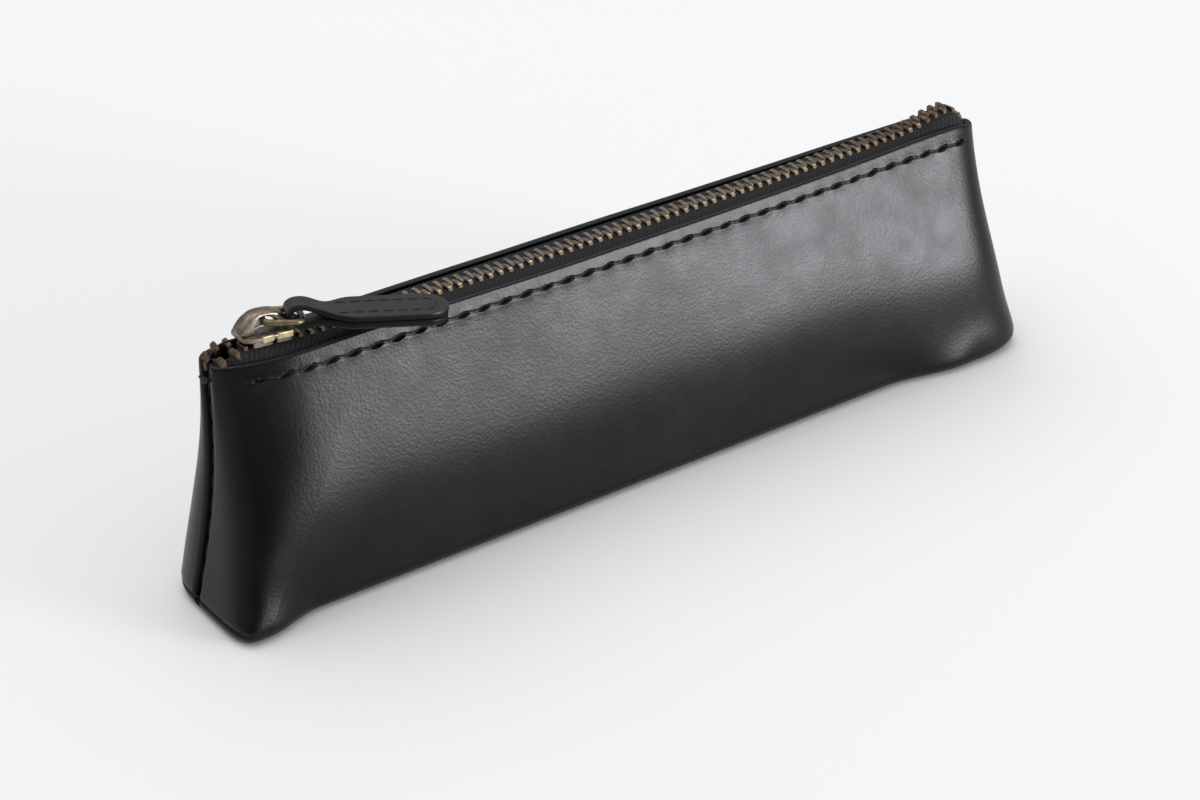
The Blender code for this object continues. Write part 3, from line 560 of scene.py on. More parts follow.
def make_leather_body(leather, edge):
    """One panel of leather: front wall, base and back wall, sewn shut at both ends."""
    skin = Skin()
    rings, painted_hole_shade = [], []
    for z, groove in outer_levels():
        points, hole = case_row(z, groove=groove)
        rings.append(skin.add_ring(points))
        painted_hole_shade.extend(hole)
    rim = [rim_turn(share) for share in (0.4, 0.75, 1.0)] + [(-RIM_CROWN, LEATHER / 2)]
    rim += [(drop, LEATHER - inset) for drop, inset in map(rim_turn, (1.0, 0.6, 0.25, 0.0))]
    rim_start = len(rings) + 1
    rings += [skin.add_ring(rim_row(drop, inset)) for drop, inset in rim]
    rim_end = len(rings) - 2
    for z in np.append(CASE_HEIGHT - 1.0, np.linspace(CASE_HEIGHT - 4.0, LEATHER, 13)):
        rings.append(skin.add_ring(case_row(z, LEATHER)[0]))
    for i, (ring, next_ring) in enumerate(zip(rings, rings[1:])):
        skin.add_band(ring, next_ring, mark=1 if rim_start <= i < rim_end else 0)
    half = len(rings[0]) // 2
    for ring in (rings[0], rings[-1]):
        front, back = ring[:half], ring[half:][::-1]
        for i in range(half - 1):
            skin.add_face((front[i], front[i + 1], back[i + 1], back[i]))
    painted_hole_shade += [0.0] * (len(skin.points) - len(painted_hole_shade))
    body = skin.build("case_leather_shell", [leather, edge], sharp=math.radians(60))
    # The hole share is stored for the leather's colour: painted shade in the holes and seams.
    mark = body.data.attributes.new("hole", "FLOAT", "POINT")
    mark.data.foreach_set("value", np.array(painted_hole_shade, np.float32))
    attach(body, "case")
    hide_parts("leather_body")


# Thread of the case
def wall_point(face, x, z, lift):
    """A point of the front or back wall, moved out along the wall's own direction."""
    nx = wall_depth(face, x - SLOPE_STEP, z) - wall_depth(face, x + SLOPE_STEP, z)
    ny = 2 * SLOPE_STEP
    lift /= math.hypot(nx, ny)
    y = face * (wall_depth(face, x, z) + lift * ny)
    x += lift * nx
    return x, y + lean_at(x, z), z - sag(x, z)


def place_thread(skin, name, material, node):
    item = skin.build(name, [material])
    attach(item, "case")
    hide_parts(node)


def make_edge_thread(name, face, material, node):
    """The stitches along one edge of the mouth, sunk into their holes."""
    path, radii = [], []
    for i in range(STITCH_COUNT):
        middle = STITCH_START + (i + 0.5) * STITCH_PITCH
        for along, lift, radius in THREAD_STEPS[:2] if i == STITCH_COUNT - 1 else THREAD_STEPS:
            x = middle + along
            z = CASE_HEIGHT + stitch_wave(along / STITCH_PITCH) - stitch_drop(x)
            path.append(wall_point(face, x, z, lift + wall_swell(face, x, z)))
            radii.append(radius)
    skin = Skin()
    skin.add_tube(path, radii)
    place_thread(skin, name, material, node)


def add_sunk_thread(skin, stitches, pace, sizes, point_at):
    """A thread that rises between its holes; point_at takes a share of its run and a depth."""
    deep, rise, thin, grow = sizes
    path, radii = [], []
    for i in range(stitches * pace + 1):
        beat = abs(math.sin(math.pi * i / pace))
        path.append(point_at(i / (stitches * pace), deep - rise * beat))
        radii.append(thin + grow * beat)
    skin.add_tube(path, radii)


def make_end_seam_thread(name, side, material, node):
    """Thread of an end seam; the left one also gets the turn that ends it at the top."""
    skin = Skin()
    low = BASE_SEAM_HEIGHT + STITCH_PITCH / 2
    top = CASE_HEIGHT - STITCH_DROP

    def point_at(share, depth):
        z = mix(low, top, share)
        x = side * (half_length(side, z) - depth)
        return x, lean_at(x, z), z

    add_sunk_thread(skin, END_STITCHES, 4, END_THREAD, point_at)
    if side < 0:
        across, high, out, radius = KNOT
        knot = []
        for i in range(KNOT_STEPS):
            angle = math.pi * 2 * i / KNOT_STEPS
            x = side * (half_length(side, top) + out + KNOT_BEND * math.sin(angle * 2))
            y = across * math.cos(angle) + LEFT_LEAN * (top / CASE_HEIGHT) ** 2
            knot.append((x, y, top + high * math.sin(angle)))
        skin.add_tube(knot, radius, closed=True)
    place_thread(skin, name, material, node)


def make_corner_seam_thread(name, side, material, node):
    """Thread of the level seam that squares off one end's base."""
    def point_at(share, depth):
        y = mix(-CORNER_SEAM_REACH, CORNER_SEAM_REACH, share)
        return side * (end_reach(side, y, BASE_SEAM_HEIGHT) - depth), y, BASE_SEAM_HEIGHT

    skin = Skin()
    add_sunk_thread(skin, CORNER_STITCHES, 6, CORNER_THREAD, point_at)
    place_thread(skin, name, material, node)


# Zip
RISE_X = (-94.5, -93.4, -92.0, -90.0, -87.9, -82.0, -76.1, -72.0, -66.0, -60.0, -40.0, -20.0,
          20.0, 45.0, 60.0, 70.0, 77.0, 82.0, 85.0, 87.5, 89.5, 91.2, 92.6, 94.2)
RISE_Z = (-1.2, -0.5, 0.1, 1.1, 2.0, 1.6, 0.9, 0.55, 0.15, 0.0, -0.25, -0.60,
          -0.60, -0.50, -0.20, 0.10, 0.30, 1.0, 1.75, 2.25, 2.4, 1.9, 0.6, -2.0)
PART_X = (-95.0, -93.0, -91.0, -89.3, -87.9, -84.2, -82.0, -79.8)
PART_Y = (1.0, 1.6, 1.9, 1.7, 0.95, 0.9, 0.45, 0.0)


def zip_level(x):
    return ZIP_Z + curve_at(x, RISE_X, RISE_Z)


def parting(x):
    return curve_at(x, PART_X, PART_Y)


def make_tape(name, side, material, node):
    """One woven tape: a corded inner edge, a flat strip, and a skirt sewn to the leather."""
    skin = Skin()
    stations = (*np.arange(TAPE_LEFT_END, -60.0, 0.6), *np.arange(-60.0, 78.0, 3.0),
                *np.arange(78.0, TAPE_RIGHT_END, 0.5))
    thin = TAPE_THICKNESS / 2
    stand_off = TAPE_GAP + thin
    cord_end = TAPE_CORD[-1][0]
    rings = []
    for x in stations:
        level = zip_level(x)
        raised = level - ZIP_Z
        shoulder_z = CASE_HEIGHT - SHOULDER_DROP + (0.30 * raised if raised > 0.0 else raised)
        shoulder = wall_depth(side, x, min(shoulder_z, CASE_HEIGHT), LEATHER) - stand_off
        inner = min(0.75 + parting(x), shoulder - cord_end)
        middle = [(inner + off, level, half) for off, half in TAPE_CORD]
        for share in STRIP_SHARES:
            drop = smooth_step(share) ** 1.5
            middle.append((mix(inner + cord_end, shoulder, share), mix(level, shoulder_z, drop), thin))
        shoulder_z -= SHOULDER_TURN
        middle.append((shoulder, shoulder_z, thin))
        for share in SKIRT_SHARES:
            z = shoulder_z - TAPE_SKIRT * share
            middle.append((wall_depth(side, x, z, LEATHER) - stand_off, z, thin))
        outline = []
        for i, (y, z, half) in enumerate(middle):
            ny, nz = path_side(middle, i)
            outline.insert(i, (y + ny * half, z + nz * half))
            outline.insert(i + 1, (y - ny * half, z - nz * half))
        rings.append([(x, side * y + lean_at(x), z) for y, z in outline])
    skin.add_loft(rings)
    item = skin.build(name, [material], sharp=math.radians(50))
    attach(item, "case")
    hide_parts(node)


# Sections of a tooth from its head outwards: place, half length, half height, lift
TOOTH_SECTIONS = ((-0.95, 0.30, 0.80, 0.0), (-0.75, 0.46, 0.98, 0.0), (0.05, 0.52, 1.05, 0.0),
                  (0.80, 0.56, 1.10, 0.0), (1.88, 0.54, 1.15, 0.0), (1.98, 0.50, 1.13, 0.0),
                  (2.30, 0.44, 0.86, 0.18))


def add_tooth(skin, x, side, lift=0.0, apart=None, stretch=1.0, turn=0.0, dark=False):
    """One tooth: a low head, and legs that clamp the cord."""
    offset = parting(x) if apart is None else apart
    level = zip_level(x) + lift
    slope = zip_level(x + 0.5) - zip_level(x - 0.5)
    rings = []
    for y, half_x, half_z, low in TOOTH_SECTIONS:
        ring = []
        for dx, dz in cut_box(half_x * stretch, half_z, TOOTH_CUT):
            dx += turn * (y - 1.0)
            ring.append((x + dx, side * (y + offset) + lean_at(x), level + dz + low + slope * dx))
        rings.append(ring)
    # Mark 2 is the darker brass, painted shade near the slider; mark 1 is the lighter brass on the
    # outer end, a painted highlight.
    marks = [2] * 6 if dark else [0, 0, 0, 0, 1, 1]
    skin.add_loft(rings, marks)


# Parted teeth and the top stop of each tape: place, lift, distance off the middle, turn
LOOSE_TEETH = {-1: ((-89.4, 0.0, 1.75, 0.05),), 1: ((-88.5, -0.7, 1.6, 0.06), (-90.9, 0.2, 2.0, 0.1))}
TOP_STOPS = {-1: (-92.3, 0.15, 1.75, -0.05), 1: (-93.5, 0.2, 1.2, 0.12)}


def place_brass(skin, name, materials, node):
    item = skin.build(name, materials)
    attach(item, "case")
    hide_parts(node)


def make_teeth(name, side, materials, node):
    """One row of separate teeth, up to the raised end of the zip."""
    skin = Skin()
    x = TEETH_LEFT_END + (0.0 if side < 0 else TOOTH_PITCH / 2 + BACK_TEETH_SHIFT)
    draw = np.random.default_rng(5 if side < 0 else 9)
    while x < TEETH_RIGHT_END:
        shift, lift, turn = TOOTH_WOBBLE * draw.normal(0.0, 1.0, 3)
        dark = not PLAIN_TEETH_SPAN[0] <= x <= PLAIN_TEETH_SPAN[1]
        add_tooth(skin, x + shift, side, lift, turn=turn, dark=dark)
        x += TOOTH_PITCH
    for place, lift, apart, turn in LOOSE_TEETH[side]:
        add_tooth(skin, place, side, lift, apart, turn=turn, dark=True)
    place_brass(skin, name, materials, node)


def make_top_stop(name, side, materials, node):
    """A small brass clamp on one tape's edge, past the first tooth."""
    skin = Skin()
    x, lift, apart, turn = TOP_STOPS[side]
    add_tooth(skin, x, side, lift, apart, STOP_STRETCH, turn, dark=True)
    place_brass(skin, name, materials, node)


def make_bottom_stop(material):
    """One clip across both tapes, where the zip turns down behind the seam."""
    skin = Skin()
    x = BOTTOM_STOP_X
    level = zip_level(x) - 0.1
    slope = (zip_level(x + SLOPE_STEP) - zip_level(x - SLOPE_STEP)) / (2 * SLOPE_STEP)
    pitch = Matrix.Translation((x, 0.0, level)) @ Matrix.Rotation(-math.atan(slope), 4, "Y")
    long = BOTTOM_STOP_HALF
    skin.add_loft([[pitch @ Vector((dx, y, dz)) for dx, dz in
                    ((-long, -half), (long, -half), (long, half), (-long, half))]
                   for y, half in BOTTOM_STOP])
    item = skin.build("zip_bottom_clip", [material], bevel=0.15)
    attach(item, "case")
    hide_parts("bottom_stop")


# Slider
SLIDER_RAISE = 1.0
SLIDER_TIP = math.radians(6.8)
SLIDER_RIGHT = -76.1
PLATE_LEVEL = 53.95
SLIDER_FRAME = (Matrix.Translation((SLIDER_RIGHT, 0.0, PLATE_LEVEL + SLIDER_RAISE))
                @ Matrix.Rotation(SLIDER_TIP, 4, "Y"))


def add_plate(skin, half_outline, low, high):
    outline = [*half_outline, *((x, -y) for x, y in reversed(half_outline))]
    skin.add_loft([[(x, y, z) for x, y in outline] for z in (low, high)])


# Half outlines of the plates and the divider, from the left
PLATE_OUTLINE = ((-11.8, 2.3), (-11.3, 3.1), (-10.0, 3.6), (-7.8, 3.7), (-5.8, 3.45), (-3.2, 3.2),
                 (-0.9, 3.2), (-0.2, 2.6), (0.0, 1.9))
LOWER_OUTLINE = ((-87.9, 2.2), (-87.0, 3.1), (-77.0, 3.1), (-76.1, 2.2))
DIVIDER_OUTLINE = ((-87.6, 0.2), (-86.8, 0.4), (-86.0, 0.4), (-84.5, 0.1))
LOWER_PLATE = (50.15, 51.05)
DIVIDER = (50.6, 55.9)
# Side flanges: start, end, foot, top, reach inside and outside the outline, material (1 is the lighter
# brass that paints the highlights on the raised beads)
FLANGES = ((-8.2, -5.1, -0.35, 1.15, 0.95, 0.12, 1), (-4.7, -0.9, -0.35, 1.15, 0.95, 0.12, 1),
           (-9.8, -5.4, -1.2, 0.2, 0.80, -0.15, 0), (-4.6, -1.2, -1.2, 0.2, 0.80, -0.15, 0))
FLANGE_TAPER = 0.15


def make_slider_body(materials):
    """Tipped upper plate with its flanges, and level lower plate with the divider."""
    skin = Skin()
    add_plate(skin, PLATE_OUTLINE, 0.0, PLATE)
    for side in (-1, 1):
        for start, end, low, high, inner, outer, mark in FLANGES:
            rings = []
            for share, taper in ((0.0, FLANGE_TAPER), (0.12, 0.0), (0.88, 0.0), (1.0, FLANGE_TAPER)):
                x = mix(start, end, share)
                edge = np.interp(x, *zip(*PLATE_OUTLINE)) - taper
                near, far = side * (edge - inner), side * (edge + outer)
                rings.append([(x, near, low), (x, far, low), (x, far, high), (x, near, high)])
            skin.add_loft(rings, [mark] * 3)
    body = skin.build("slider_plates", materials, SLIDER_FRAME, bevel=0.24, steps=3)
    lower = Skin()
    add_plate(lower, LOWER_OUTLINE, *LOWER_PLATE)
    add_plate(lower, DIVIDER_OUTLINE, *DIVIDER)
    base = lower.build("slider_lower_plate", materials, bevel=0.15)
    for item in (body, base):
        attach(item, "slider")
    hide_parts("slider_body")


CROWN_HALF = 1.75
CROWN_CUT = 0.24
CROWN_STEPS = 6
CROWN_OUTER = ((-87.9, 56.6), (-87.85, 57.7), (-87.0, 59.0), (-85.5, 60.2), (-83.6, 60.85),
               (-81.6, 60.75), (-79.6, 60.3), (-77.8, 59.35), (-76.8, 57.7), (-76.5, 55.8))
CROWN_THICK = (2.4, 3.0, 3.1, 2.3, 1.15, 0.72, 1.35, 2.1, 2.1, 1.6)


def spline(points, steps):
    """A smooth open curve through the points."""
    points = [Vector(p) for p in (points[0], *points, points[-1])]
    out = []
    for p0, p1, p2, p3 in zip(points, points[1:], points[2:], points[3:]):
        for k in range(steps):
            t = k / steps
            out.append(0.5 * (2 * p1 + (p2 - p0) * t + (2 * p0 - 5 * p1 + 4 * p2 - p3) * t * t
                              + (3 * p1 - p0 - 3 * p2 + p3) * t ** 3))
    return out + [points[-1]]


def make_crown(material):
    """The leaning arch on the slider that holds the pull's ring."""
    outer = spline(CROWN_OUTER, CROWN_STEPS)
    skin = Skin()
    rings = []
    for i, point in enumerate(outer):
        half = np.interp(i / CROWN_STEPS, range(len(CROWN_THICK)), CROWN_THICK) / 2
        nx, nz = path_side(outer, i)
        rings.append([(point.x - nx * (half + depth), y, point.y - nz * (half + depth))
                      for y, depth in cut_box(CROWN_HALF, half, CROWN_CUT)])
    skin.add_loft(rings)
    item = skin.build("slider_bridge", [material], sharp=math.radians(50))
    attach(item, "slider")
    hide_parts("slider_crown")


LEAF = ((-9.4, 1.2), (-8.6, 1.9), (-7.6, 2.3), (-6.2, 2.4), (-4.8, 2.3), (-3.6, 1.9), (-2.6, 1.3),
        (-2.5, 0.1))
LEAF_HALF_WIDTH = 1.3
LEAF_HALF = 0.15


def make_lock_spring(material):
    """The leaf that lies on the plate under the arch, its end turned down into the plate."""
    skin = Skin()
    rings = []
    for i, (x, z) in enumerate(LEAF):
        nx, nz = path_side(LEAF, i)
        rings.append([(x + out * nx, across * LEAF_HALF_WIDTH, z + out * nz) for out, across in
                      ((-LEAF_HALF, -1), (-LEAF_HALF, 1), (LEAF_HALF, 1), (LEAF_HALF, -1))])
    skin.add_loft(rings)
    item = skin.build("slider_leaf", [material], SLIDER_FRAME, bevel=0.06)
    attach(item, "slider")
    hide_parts("slider_lock_spring")


# Pull
def make_link(material):
    """The wire ring, bent to a rounded rectangle."""
    side = (LINK_INNER_WIDTH + LINK_WIRE) / 2 - LINK_BEND
    end = LINK_LENGTH - LINK_BEND
    path = []
    for x, y, start in ((LINK_BEND, -side, 180), (end, -side, 270), (end, side, 0),
                        (LINK_BEND, side, 90)):
        for k in range(9):
            angle = math.radians(start + 90 * k / 8)
            path.append((x + LINK_BEND * math.cos(angle), y + LINK_BEND * math.sin(angle), 0.0))
    skin = Skin()
    skin.add_tube(path, LINK_WIRE / 2, 16, closed=True)
    item = skin.build("pull_wire_ring", [material], PULL_FRAME)
    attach(item, "link")
    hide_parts("pull_link")


STRAP_ROUND = STRAP_LENGTH - STRAP_WIDTH / 2


def strap_half_width(reach):
    grow = smooth_step((reach - LINK_WIRE - STRAP_LEATHER) / (STRAP_WIDTH * 0.85))
    width = mix(STRAP_LOOP_WIDTH, STRAP_WIDTH, grow) / 2
    over = min(max((reach - STRAP_ROUND) / (STRAP_LENGTH - STRAP_ROUND), 0.0), 1.0)
    return width * math.sqrt(1.0 - over ** 2)


STRAP_SEW_ACROSS = 2.4
STRAP_SEW_START = 6.6
STRAP_SEW_STRAIGHT = STRAP_ROUND - STRAP_SEW_START
STRAP_SEW_COUNT = 15
STRAP_HOLE_DEPTH = 0.34
STRAP_HOLE_WIDTH = 0.42
STRAP_GROOVE_DEPTH = 0.16
STRAP_GROOVE_WIDTH = 0.36


def strap_seam(distance):
    """A point of the strap's stitch line: up one side, round the tip and back."""
    turn = math.pi * STRAP_SEW_ACROSS
    if distance < STRAP_SEW_STRAIGHT:
        return STRAP_SEW_START + distance, -STRAP_SEW_ACROSS
    if distance > STRAP_SEW_STRAIGHT + turn:
        return STRAP_SEW_START + 2 * STRAP_SEW_STRAIGHT + turn - distance, STRAP_SEW_ACROSS
    angle = (distance - STRAP_SEW_STRAIGHT) / STRAP_SEW_ACROSS - math.pi / 2
    return STRAP_ROUND + STRAP_SEW_ACROSS * math.cos(angle), STRAP_SEW_ACROSS * math.sin(angle)


STRAP_SEW_TOTAL = 2 * STRAP_SEW_STRAIGHT + math.pi * STRAP_SEW_ACROSS
STRAP_STITCH = STRAP_SEW_TOTAL / STRAP_SEW_COUNT
STRAP_HOLES = np.array([strap_seam(STRAP_STITCH * i) for i in range(STRAP_SEW_COUNT + 1)])


def strap_dent(reach, y):
    """Depth of the strap's stitch holes and of the groove between them."""
    away = np.hypot(STRAP_HOLES[:, 0] - reach, STRAP_HOLES[:, 1] - y).min()
    off = math.hypot(max(reach - STRAP_ROUND, 0.0), y) - STRAP_SEW_ACROSS
    started = smooth_step((reach - STRAP_SEW_START + 0.5) / 0.6)
    return (STRAP_HOLE_DEPTH * math.exp(-(away / STRAP_HOLE_WIDTH) ** 2)
            + STRAP_GROOVE_DEPTH * math.exp(-(off / STRAP_GROOVE_WIDTH) ** 2) * started)


def strap_path():
    """Middle line of the strip: under ply, round the ring's bar, upper ply."""
    ply = STRAP_LEATHER / 2 + 0.03
    tip = STRAP_LENGTH - 0.02
    reaches = [mix(STRAP_ROUND, tip, math.sin(math.pi / 2 * k / 14)) for k in range(14, 0, -1)]
    reaches += list(np.linspace(STRAP_ROUND, STRAP_LOOP_END, 54))
    turn = spline(((STRAP_LOOP_END, -ply), *STRAP_LOOP, (STRAP_LOOP_END, ply)), 3)[1:-1]
    return ([Vector((reach, -ply)) for reach in reaches] + turn
            + [Vector((reach, ply)) for reach in reversed(reaches)])


def make_strap(leather, edge):
    """One strip folded over the ring's bar and sewn to itself."""
    skin = Skin()
    path = strap_path()
    thick = STRAP_LEATHER / 2
    turned = STRAP_CUT * 0.35
    across = np.linspace(-1.0, 1.0, 27)
    rings = []
    for i, point in enumerate(path):
        nx, nz = path_side(path, i)
        half = max(strap_half_width(max(point.x, 0.0)), 0.25)
        sewn = point.x > 4.5 and i != len(path) // 2
        section = [(y, (strap_dent(point.x, y) if sewn else 0.0) - thick)
                   for y in across * (half - STRAP_CUT)]
        right = [(half - turned, turned - thick), (half, -thick * 0.35), (half, thick * 0.6)]
        section += right
        section += [(t * (half - STRAP_CUT * 0.4), thick) for t in (1.0, 0.0, -1.0)]
        section += [(-y, depth) for y, depth in reversed(right)]
        rings.append([(LINK_LENGTH + point.x + nx * depth, y, point.y + nz * depth)
                      for y, depth in section])
    indices = [skin.add_ring(ring) for ring in rings]
    total = len(rings[0])
    for ring, next_ring in zip(indices, indices[1:]):
        for k in range(total):
            j = (k + 1) % total
            painted = len(across) <= k < len(across) + 2 or k >= total - 3
            skin.add_face((ring[k], ring[j], next_ring[j], next_ring[k]), int(painted))
    skin.add_face(reversed(indices[0]), 1)
    skin.add_face(indices[-1], 1)
    item = skin.build("pull_leather_strap", [leather, edge], PULL_FRAME, sharp=math.radians(55))
    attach(item, "pull")
    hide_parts("pull_strap")


def make_pull_thread(material):
    """Stitches of the strap, each sunk at both ends."""
    skin = Skin()
    for surface in (1.0, -1.0):
        path = []
        for i in range(STRAP_SEW_COUNT):
            for t, lift in ((0.0, -0.30), (0.2, -0.06), (0.5, 0.0), (0.8, -0.06)):
                x, y = strap_seam(STRAP_STITCH * (i + t))
                path.append((LINK_LENGTH + x, y, surface * (STRAP_LEATHER + lift)))
        skin.add_tube(path, 0.22)
    item = skin.build("pull_stitching", [material], PULL_FRAME)
    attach(item, "pull")
    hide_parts("pull_thread")


# Materials
class Nodes:
    """A tree of shader nodes, laid out by short calls."""

    def __init__(self, owner):
        owner.use_nodes = True
        self.tree = owner.node_tree

    def feed(self, socket, value):
        """Give an input a link, a colour or a number."""
        if isinstance(value, bpy.types.NodeSocket):
            self.tree.links.new(value, socket)
        else:
            socket.default_value = (*value, 1.0) if socket.type == "RGBA" else value

    def add(self, kind, settings=None, **inputs):
        """One more node. The inputs are given by name, with _ for a space."""
        node = self.tree.nodes.new(kind)
        for key, value in (settings or {}).items():
            setattr(node, key, value)
        for key, value in inputs.items():
            self.feed(node.inputs[key.replace("_", " ")], value)
        return node

    def ramp(self, value, low, high, start=0.0, end=1.0):
        return self.add("ShaderNodeMapRange", {"clamp": True}, Value=value, From_Min=low,
                        From_Max=high, To_Min=start, To_Max=end).outputs["Result"]

    def combine(self, operation, first, second=0.0):
        node = self.add("ShaderNodeMath", {"operation": operation})
        self.feed(node.inputs[0], first)
        self.feed(node.inputs[1], second)
        return node.outputs["Value"]

    def wave(self, value, turn):
        return self.combine("SINE", self.combine("MULTIPLY", value, turn))


class Paint(Nodes):
    """A Principled material."""

    def __init__(self, name, colour, roughness, metallic=0.0, specular=0.5):
        self.material = bpy.data.materials.new(name)
        super().__init__(self.material)
        self.shader = self.tree.nodes["Principled BSDF"].inputs
        for key, value in (("Base Color", colour), ("Roughness", roughness),
                           ("Metallic", metallic), ("Specular IOR Level", specular)):
            self.feed(self.shader[key], value)
        self.place = self.add("ShaderNodeTexCoord").outputs["Object"]
        self.height = None

    def axes(self):
        return self.add("ShaderNodeSeparateXYZ", Vector=self.place).outputs

    def noise(self, scale, detail=3.0, rough=0.6):
        return self.add("ShaderNodeTexNoise", Vector=self.place, Scale=scale, Detail=detail,
                        Roughness=rough).outputs["Fac"]

    def cells(self, scale):
        return self.add("ShaderNodeTexVoronoi", {"feature": "SMOOTH_F1"}, Vector=self.place,
                        Scale=scale, Smoothness=0.4).outputs["Distance"]

    def tint(self, share, first, second):
        node = self.add("ShaderNodeMix", {"data_type": "RGBA"}, Factor=share)
        for key, value in (("A", first), ("B", second)):
            self.feed([s for s in node.inputs if s.name == key and s.type == "RGBA"][0], value)
        return [s for s in node.outputs if s.type == "RGBA"][0]

    def colour(self, value):
        self.feed(self.shader["Base Color"], value)

    def rough(self, value):
        self.feed(self.shader["Roughness"], value)

    def bump(self, value, distance, strength):
        """Stack one more layer of relief, its depth given in millimetres."""
        node = self.add("ShaderNodeBump", Distance=distance * MM, Strength=strength, Height=value)
        if self.height is not None:
            self.feed(node.inputs["Normal"], self.height)
        self.height = node.outputs["Normal"]
        self.feed(self.shader["Normal"], self.height)


def leather_material():
    paint = Paint("black_leather", (0.003, 0.003, 0.0032), 0.33, specular=0.21)
    soft = paint.noise(160.0, 3.0, 0.55)
    mottle = paint.noise(38.0, 2.0, 0.5)
    hole = paint.add("ShaderNodeAttribute", {"attribute_name": "hole"}).outputs["Fac"]
    tone = paint.tint(paint.ramp(mottle, 0.35, 0.65), (0.0022, 0.0022, 0.0024),
                      (0.0032, 0.0031, 0.0034))
    # Painted shade: the colour turns near black in the stitch holes, the thread's bed and the end
    # seams.
    paint.colour(paint.tint(paint.ramp(hole, 0.15, 0.75), tone, (0.001, 0.001, 0.001)))
    worn = paint.ramp(soft, 0.35, 0.68, 0.31, 0.36)
    paint.rough(paint.combine("MAXIMUM", worn, paint.ramp(hole, 0.15, 0.7)))
    paint.bump(soft, 0.020, 0.3)
    paint.bump(paint.cells(1500.0), 0.030, 0.6)
    paint.bump(paint.noise(3200.0), 0.022, 0.7)
    return paint.material


def rim_material():
    paint = Paint("painted_cut_edge", (0.030, 0.030, 0.029), 0.70, specular=0.15)
    fibre = paint.noise(2600.0, 3.0, 0.65)
    paint.colour(paint.tint(paint.ramp(fibre, 0.3, 0.7), (0.020, 0.020, 0.0195), (0.042, 0.041, 0.039)))
    paint.bump(fibre, 0.03, 0.5)
    return paint.material


def strap_material():
    paint = Paint("strap_leather", (0.005, 0.005, 0.0053), 0.42, specular=0.38)
    soft = paint.noise(240.0)
    paint.rough(paint.ramp(soft, 0.35, 0.68, 0.38, 0.50))
    paint.bump(soft, 0.09, 0.5)
    paint.bump(paint.cells(1500.0), 0.030, 0.5)
    return paint.material


def strap_edge_material():
    paint = Paint("strap_painted_edge", (0.003, 0.003, 0.0033), 0.40, specular=0.15)
    paint.bump(paint.noise(1800.0), 0.05, 0.5)
    return paint.material


# Weave and twist, in metres and in radians a metre
THREAD_TURN = 14000.0
RIB_TURN = 2 * math.pi / 0.00115
YARN_TURN = 2 * math.pi / 0.00042
LANE_WIDTH = 0.0021
LANE_SHIFT = 0.0009
RIB_SLANT = 0.9


def thread_material():
    paint = Paint("waxed_black_thread", (0.005, 0.005, 0.0054), 0.50, specular=0.3)
    axes = paint.axes()
    paint.bump(paint.wave(paint.combine("ADD", axes["X"], axes["Z"]), THREAD_TURN), 0.06, 0.6)
    return paint.material


def tape_material():
    """Woven tape: ribs that slant one way, then the other, in narrow lanes."""
    paint = Paint("herringbone_tape", (0.012, 0.012, 0.013), 0.80, specular=0.3)
    axes = paint.axes()
    lane = paint.combine("PINGPONG", paint.combine("ADD", axes["Y"], LANE_SHIFT), LANE_WIDTH)
    slant = paint.combine("SUBTRACT", axes["X"], paint.combine("MULTIPLY", lane, RIB_SLANT))
    rib = paint.wave(slant, RIB_TURN)
    lit = paint.ramp(rib, -0.6, 0.9)
    paint.colour(paint.tint(lit, (0.006, 0.006, 0.008), (0.014, 0.014, 0.018)))
    paint.bump(rib, 0.045, 0.6)
    paint.bump(paint.wave(axes["Y"], YARN_TURN), 0.025, 0.5)
    paint.bump(paint.noise(5200.0), 0.03, 0.6)
    return paint.material


# Where along the case the teeth turn darker, in metres
FAR = (0.050, 0.085)


def brass_material(name, dull, bright, roughness, spots=900.0, far=None):
    paint = Paint(name, bright, roughness, metallic=1.0)
    patina = paint.noise(spots, 4.0, 0.65)
    tone = paint.tint(paint.ramp(patina, 0.36, 0.64), dull, bright)
    if far:
        tone = paint.tint(paint.ramp(paint.axes()["X"], *FAR), tone, far)
    paint.colour(tone)
    paint.rough(paint.ramp(patina, 0.3, 0.7, roughness + 0.10, roughness - 0.06))
    paint.bump(paint.noise(spots * 4, 2.0, 0.5), 0.012, 0.5)
    return paint.material


def spring_material():
    paint = Paint("spring_steel", (0.42, 0.43, 0.44), 0.34, metallic=1.0)
    paint.rough(paint.ramp(paint.noise(1400.0), 0.3, 0.7, 0.28, 0.42))
    return paint.material


# Room, lamps and camera
FLOOR_REACH = 4.0
FLOOR_LEVEL = -0.00002


def make_floor():
    mesh = bpy.data.meshes.new("floor")
    mesh.from_pydata([(x * FLOOR_REACH, y * FLOOR_REACH, FLOOR_LEVEL)
                      for x, y in ((-1, -1), (1, -1), (1, 1), (-1, 1))], [], [(0, 1, 2, 3)])
    floor = add_object("floor", mesh)
    mesh.materials.append(Paint("white_table", (0.90, 0.90, 0.905), 0.9, specular=0.1).material)


def add_area(name, place, target, width, height, power, colour=(1.0, 1.0, 1.0)):
    lamp = bpy.data.lights.new(name, "AREA")
    lamp.shape = "RECTANGLE"
    lamp.size, lamp.size_y = width, height
    lamp.energy = power
    lamp.color = colour
    item = add_object(name, lamp)
    item.location = place
    item.rotation_euler = (Vector(target) - Vector(place)).to_track_quat("-Z", "Y").to_euler()


# Strength of the room's light: a direction, two places along it and the strength at each
ROOM_LIGHT = (((0.0, 0.0, 1.0), (-0.05, 0.80, 0.37, 0.62)),
              ((0.0, 0.0, 1.0), (0.60, 0.95, 1.0, 2.1)),
              ((-0.36, -0.93, 0.05), (0.62, 0.95, 1.0, 0.10)))


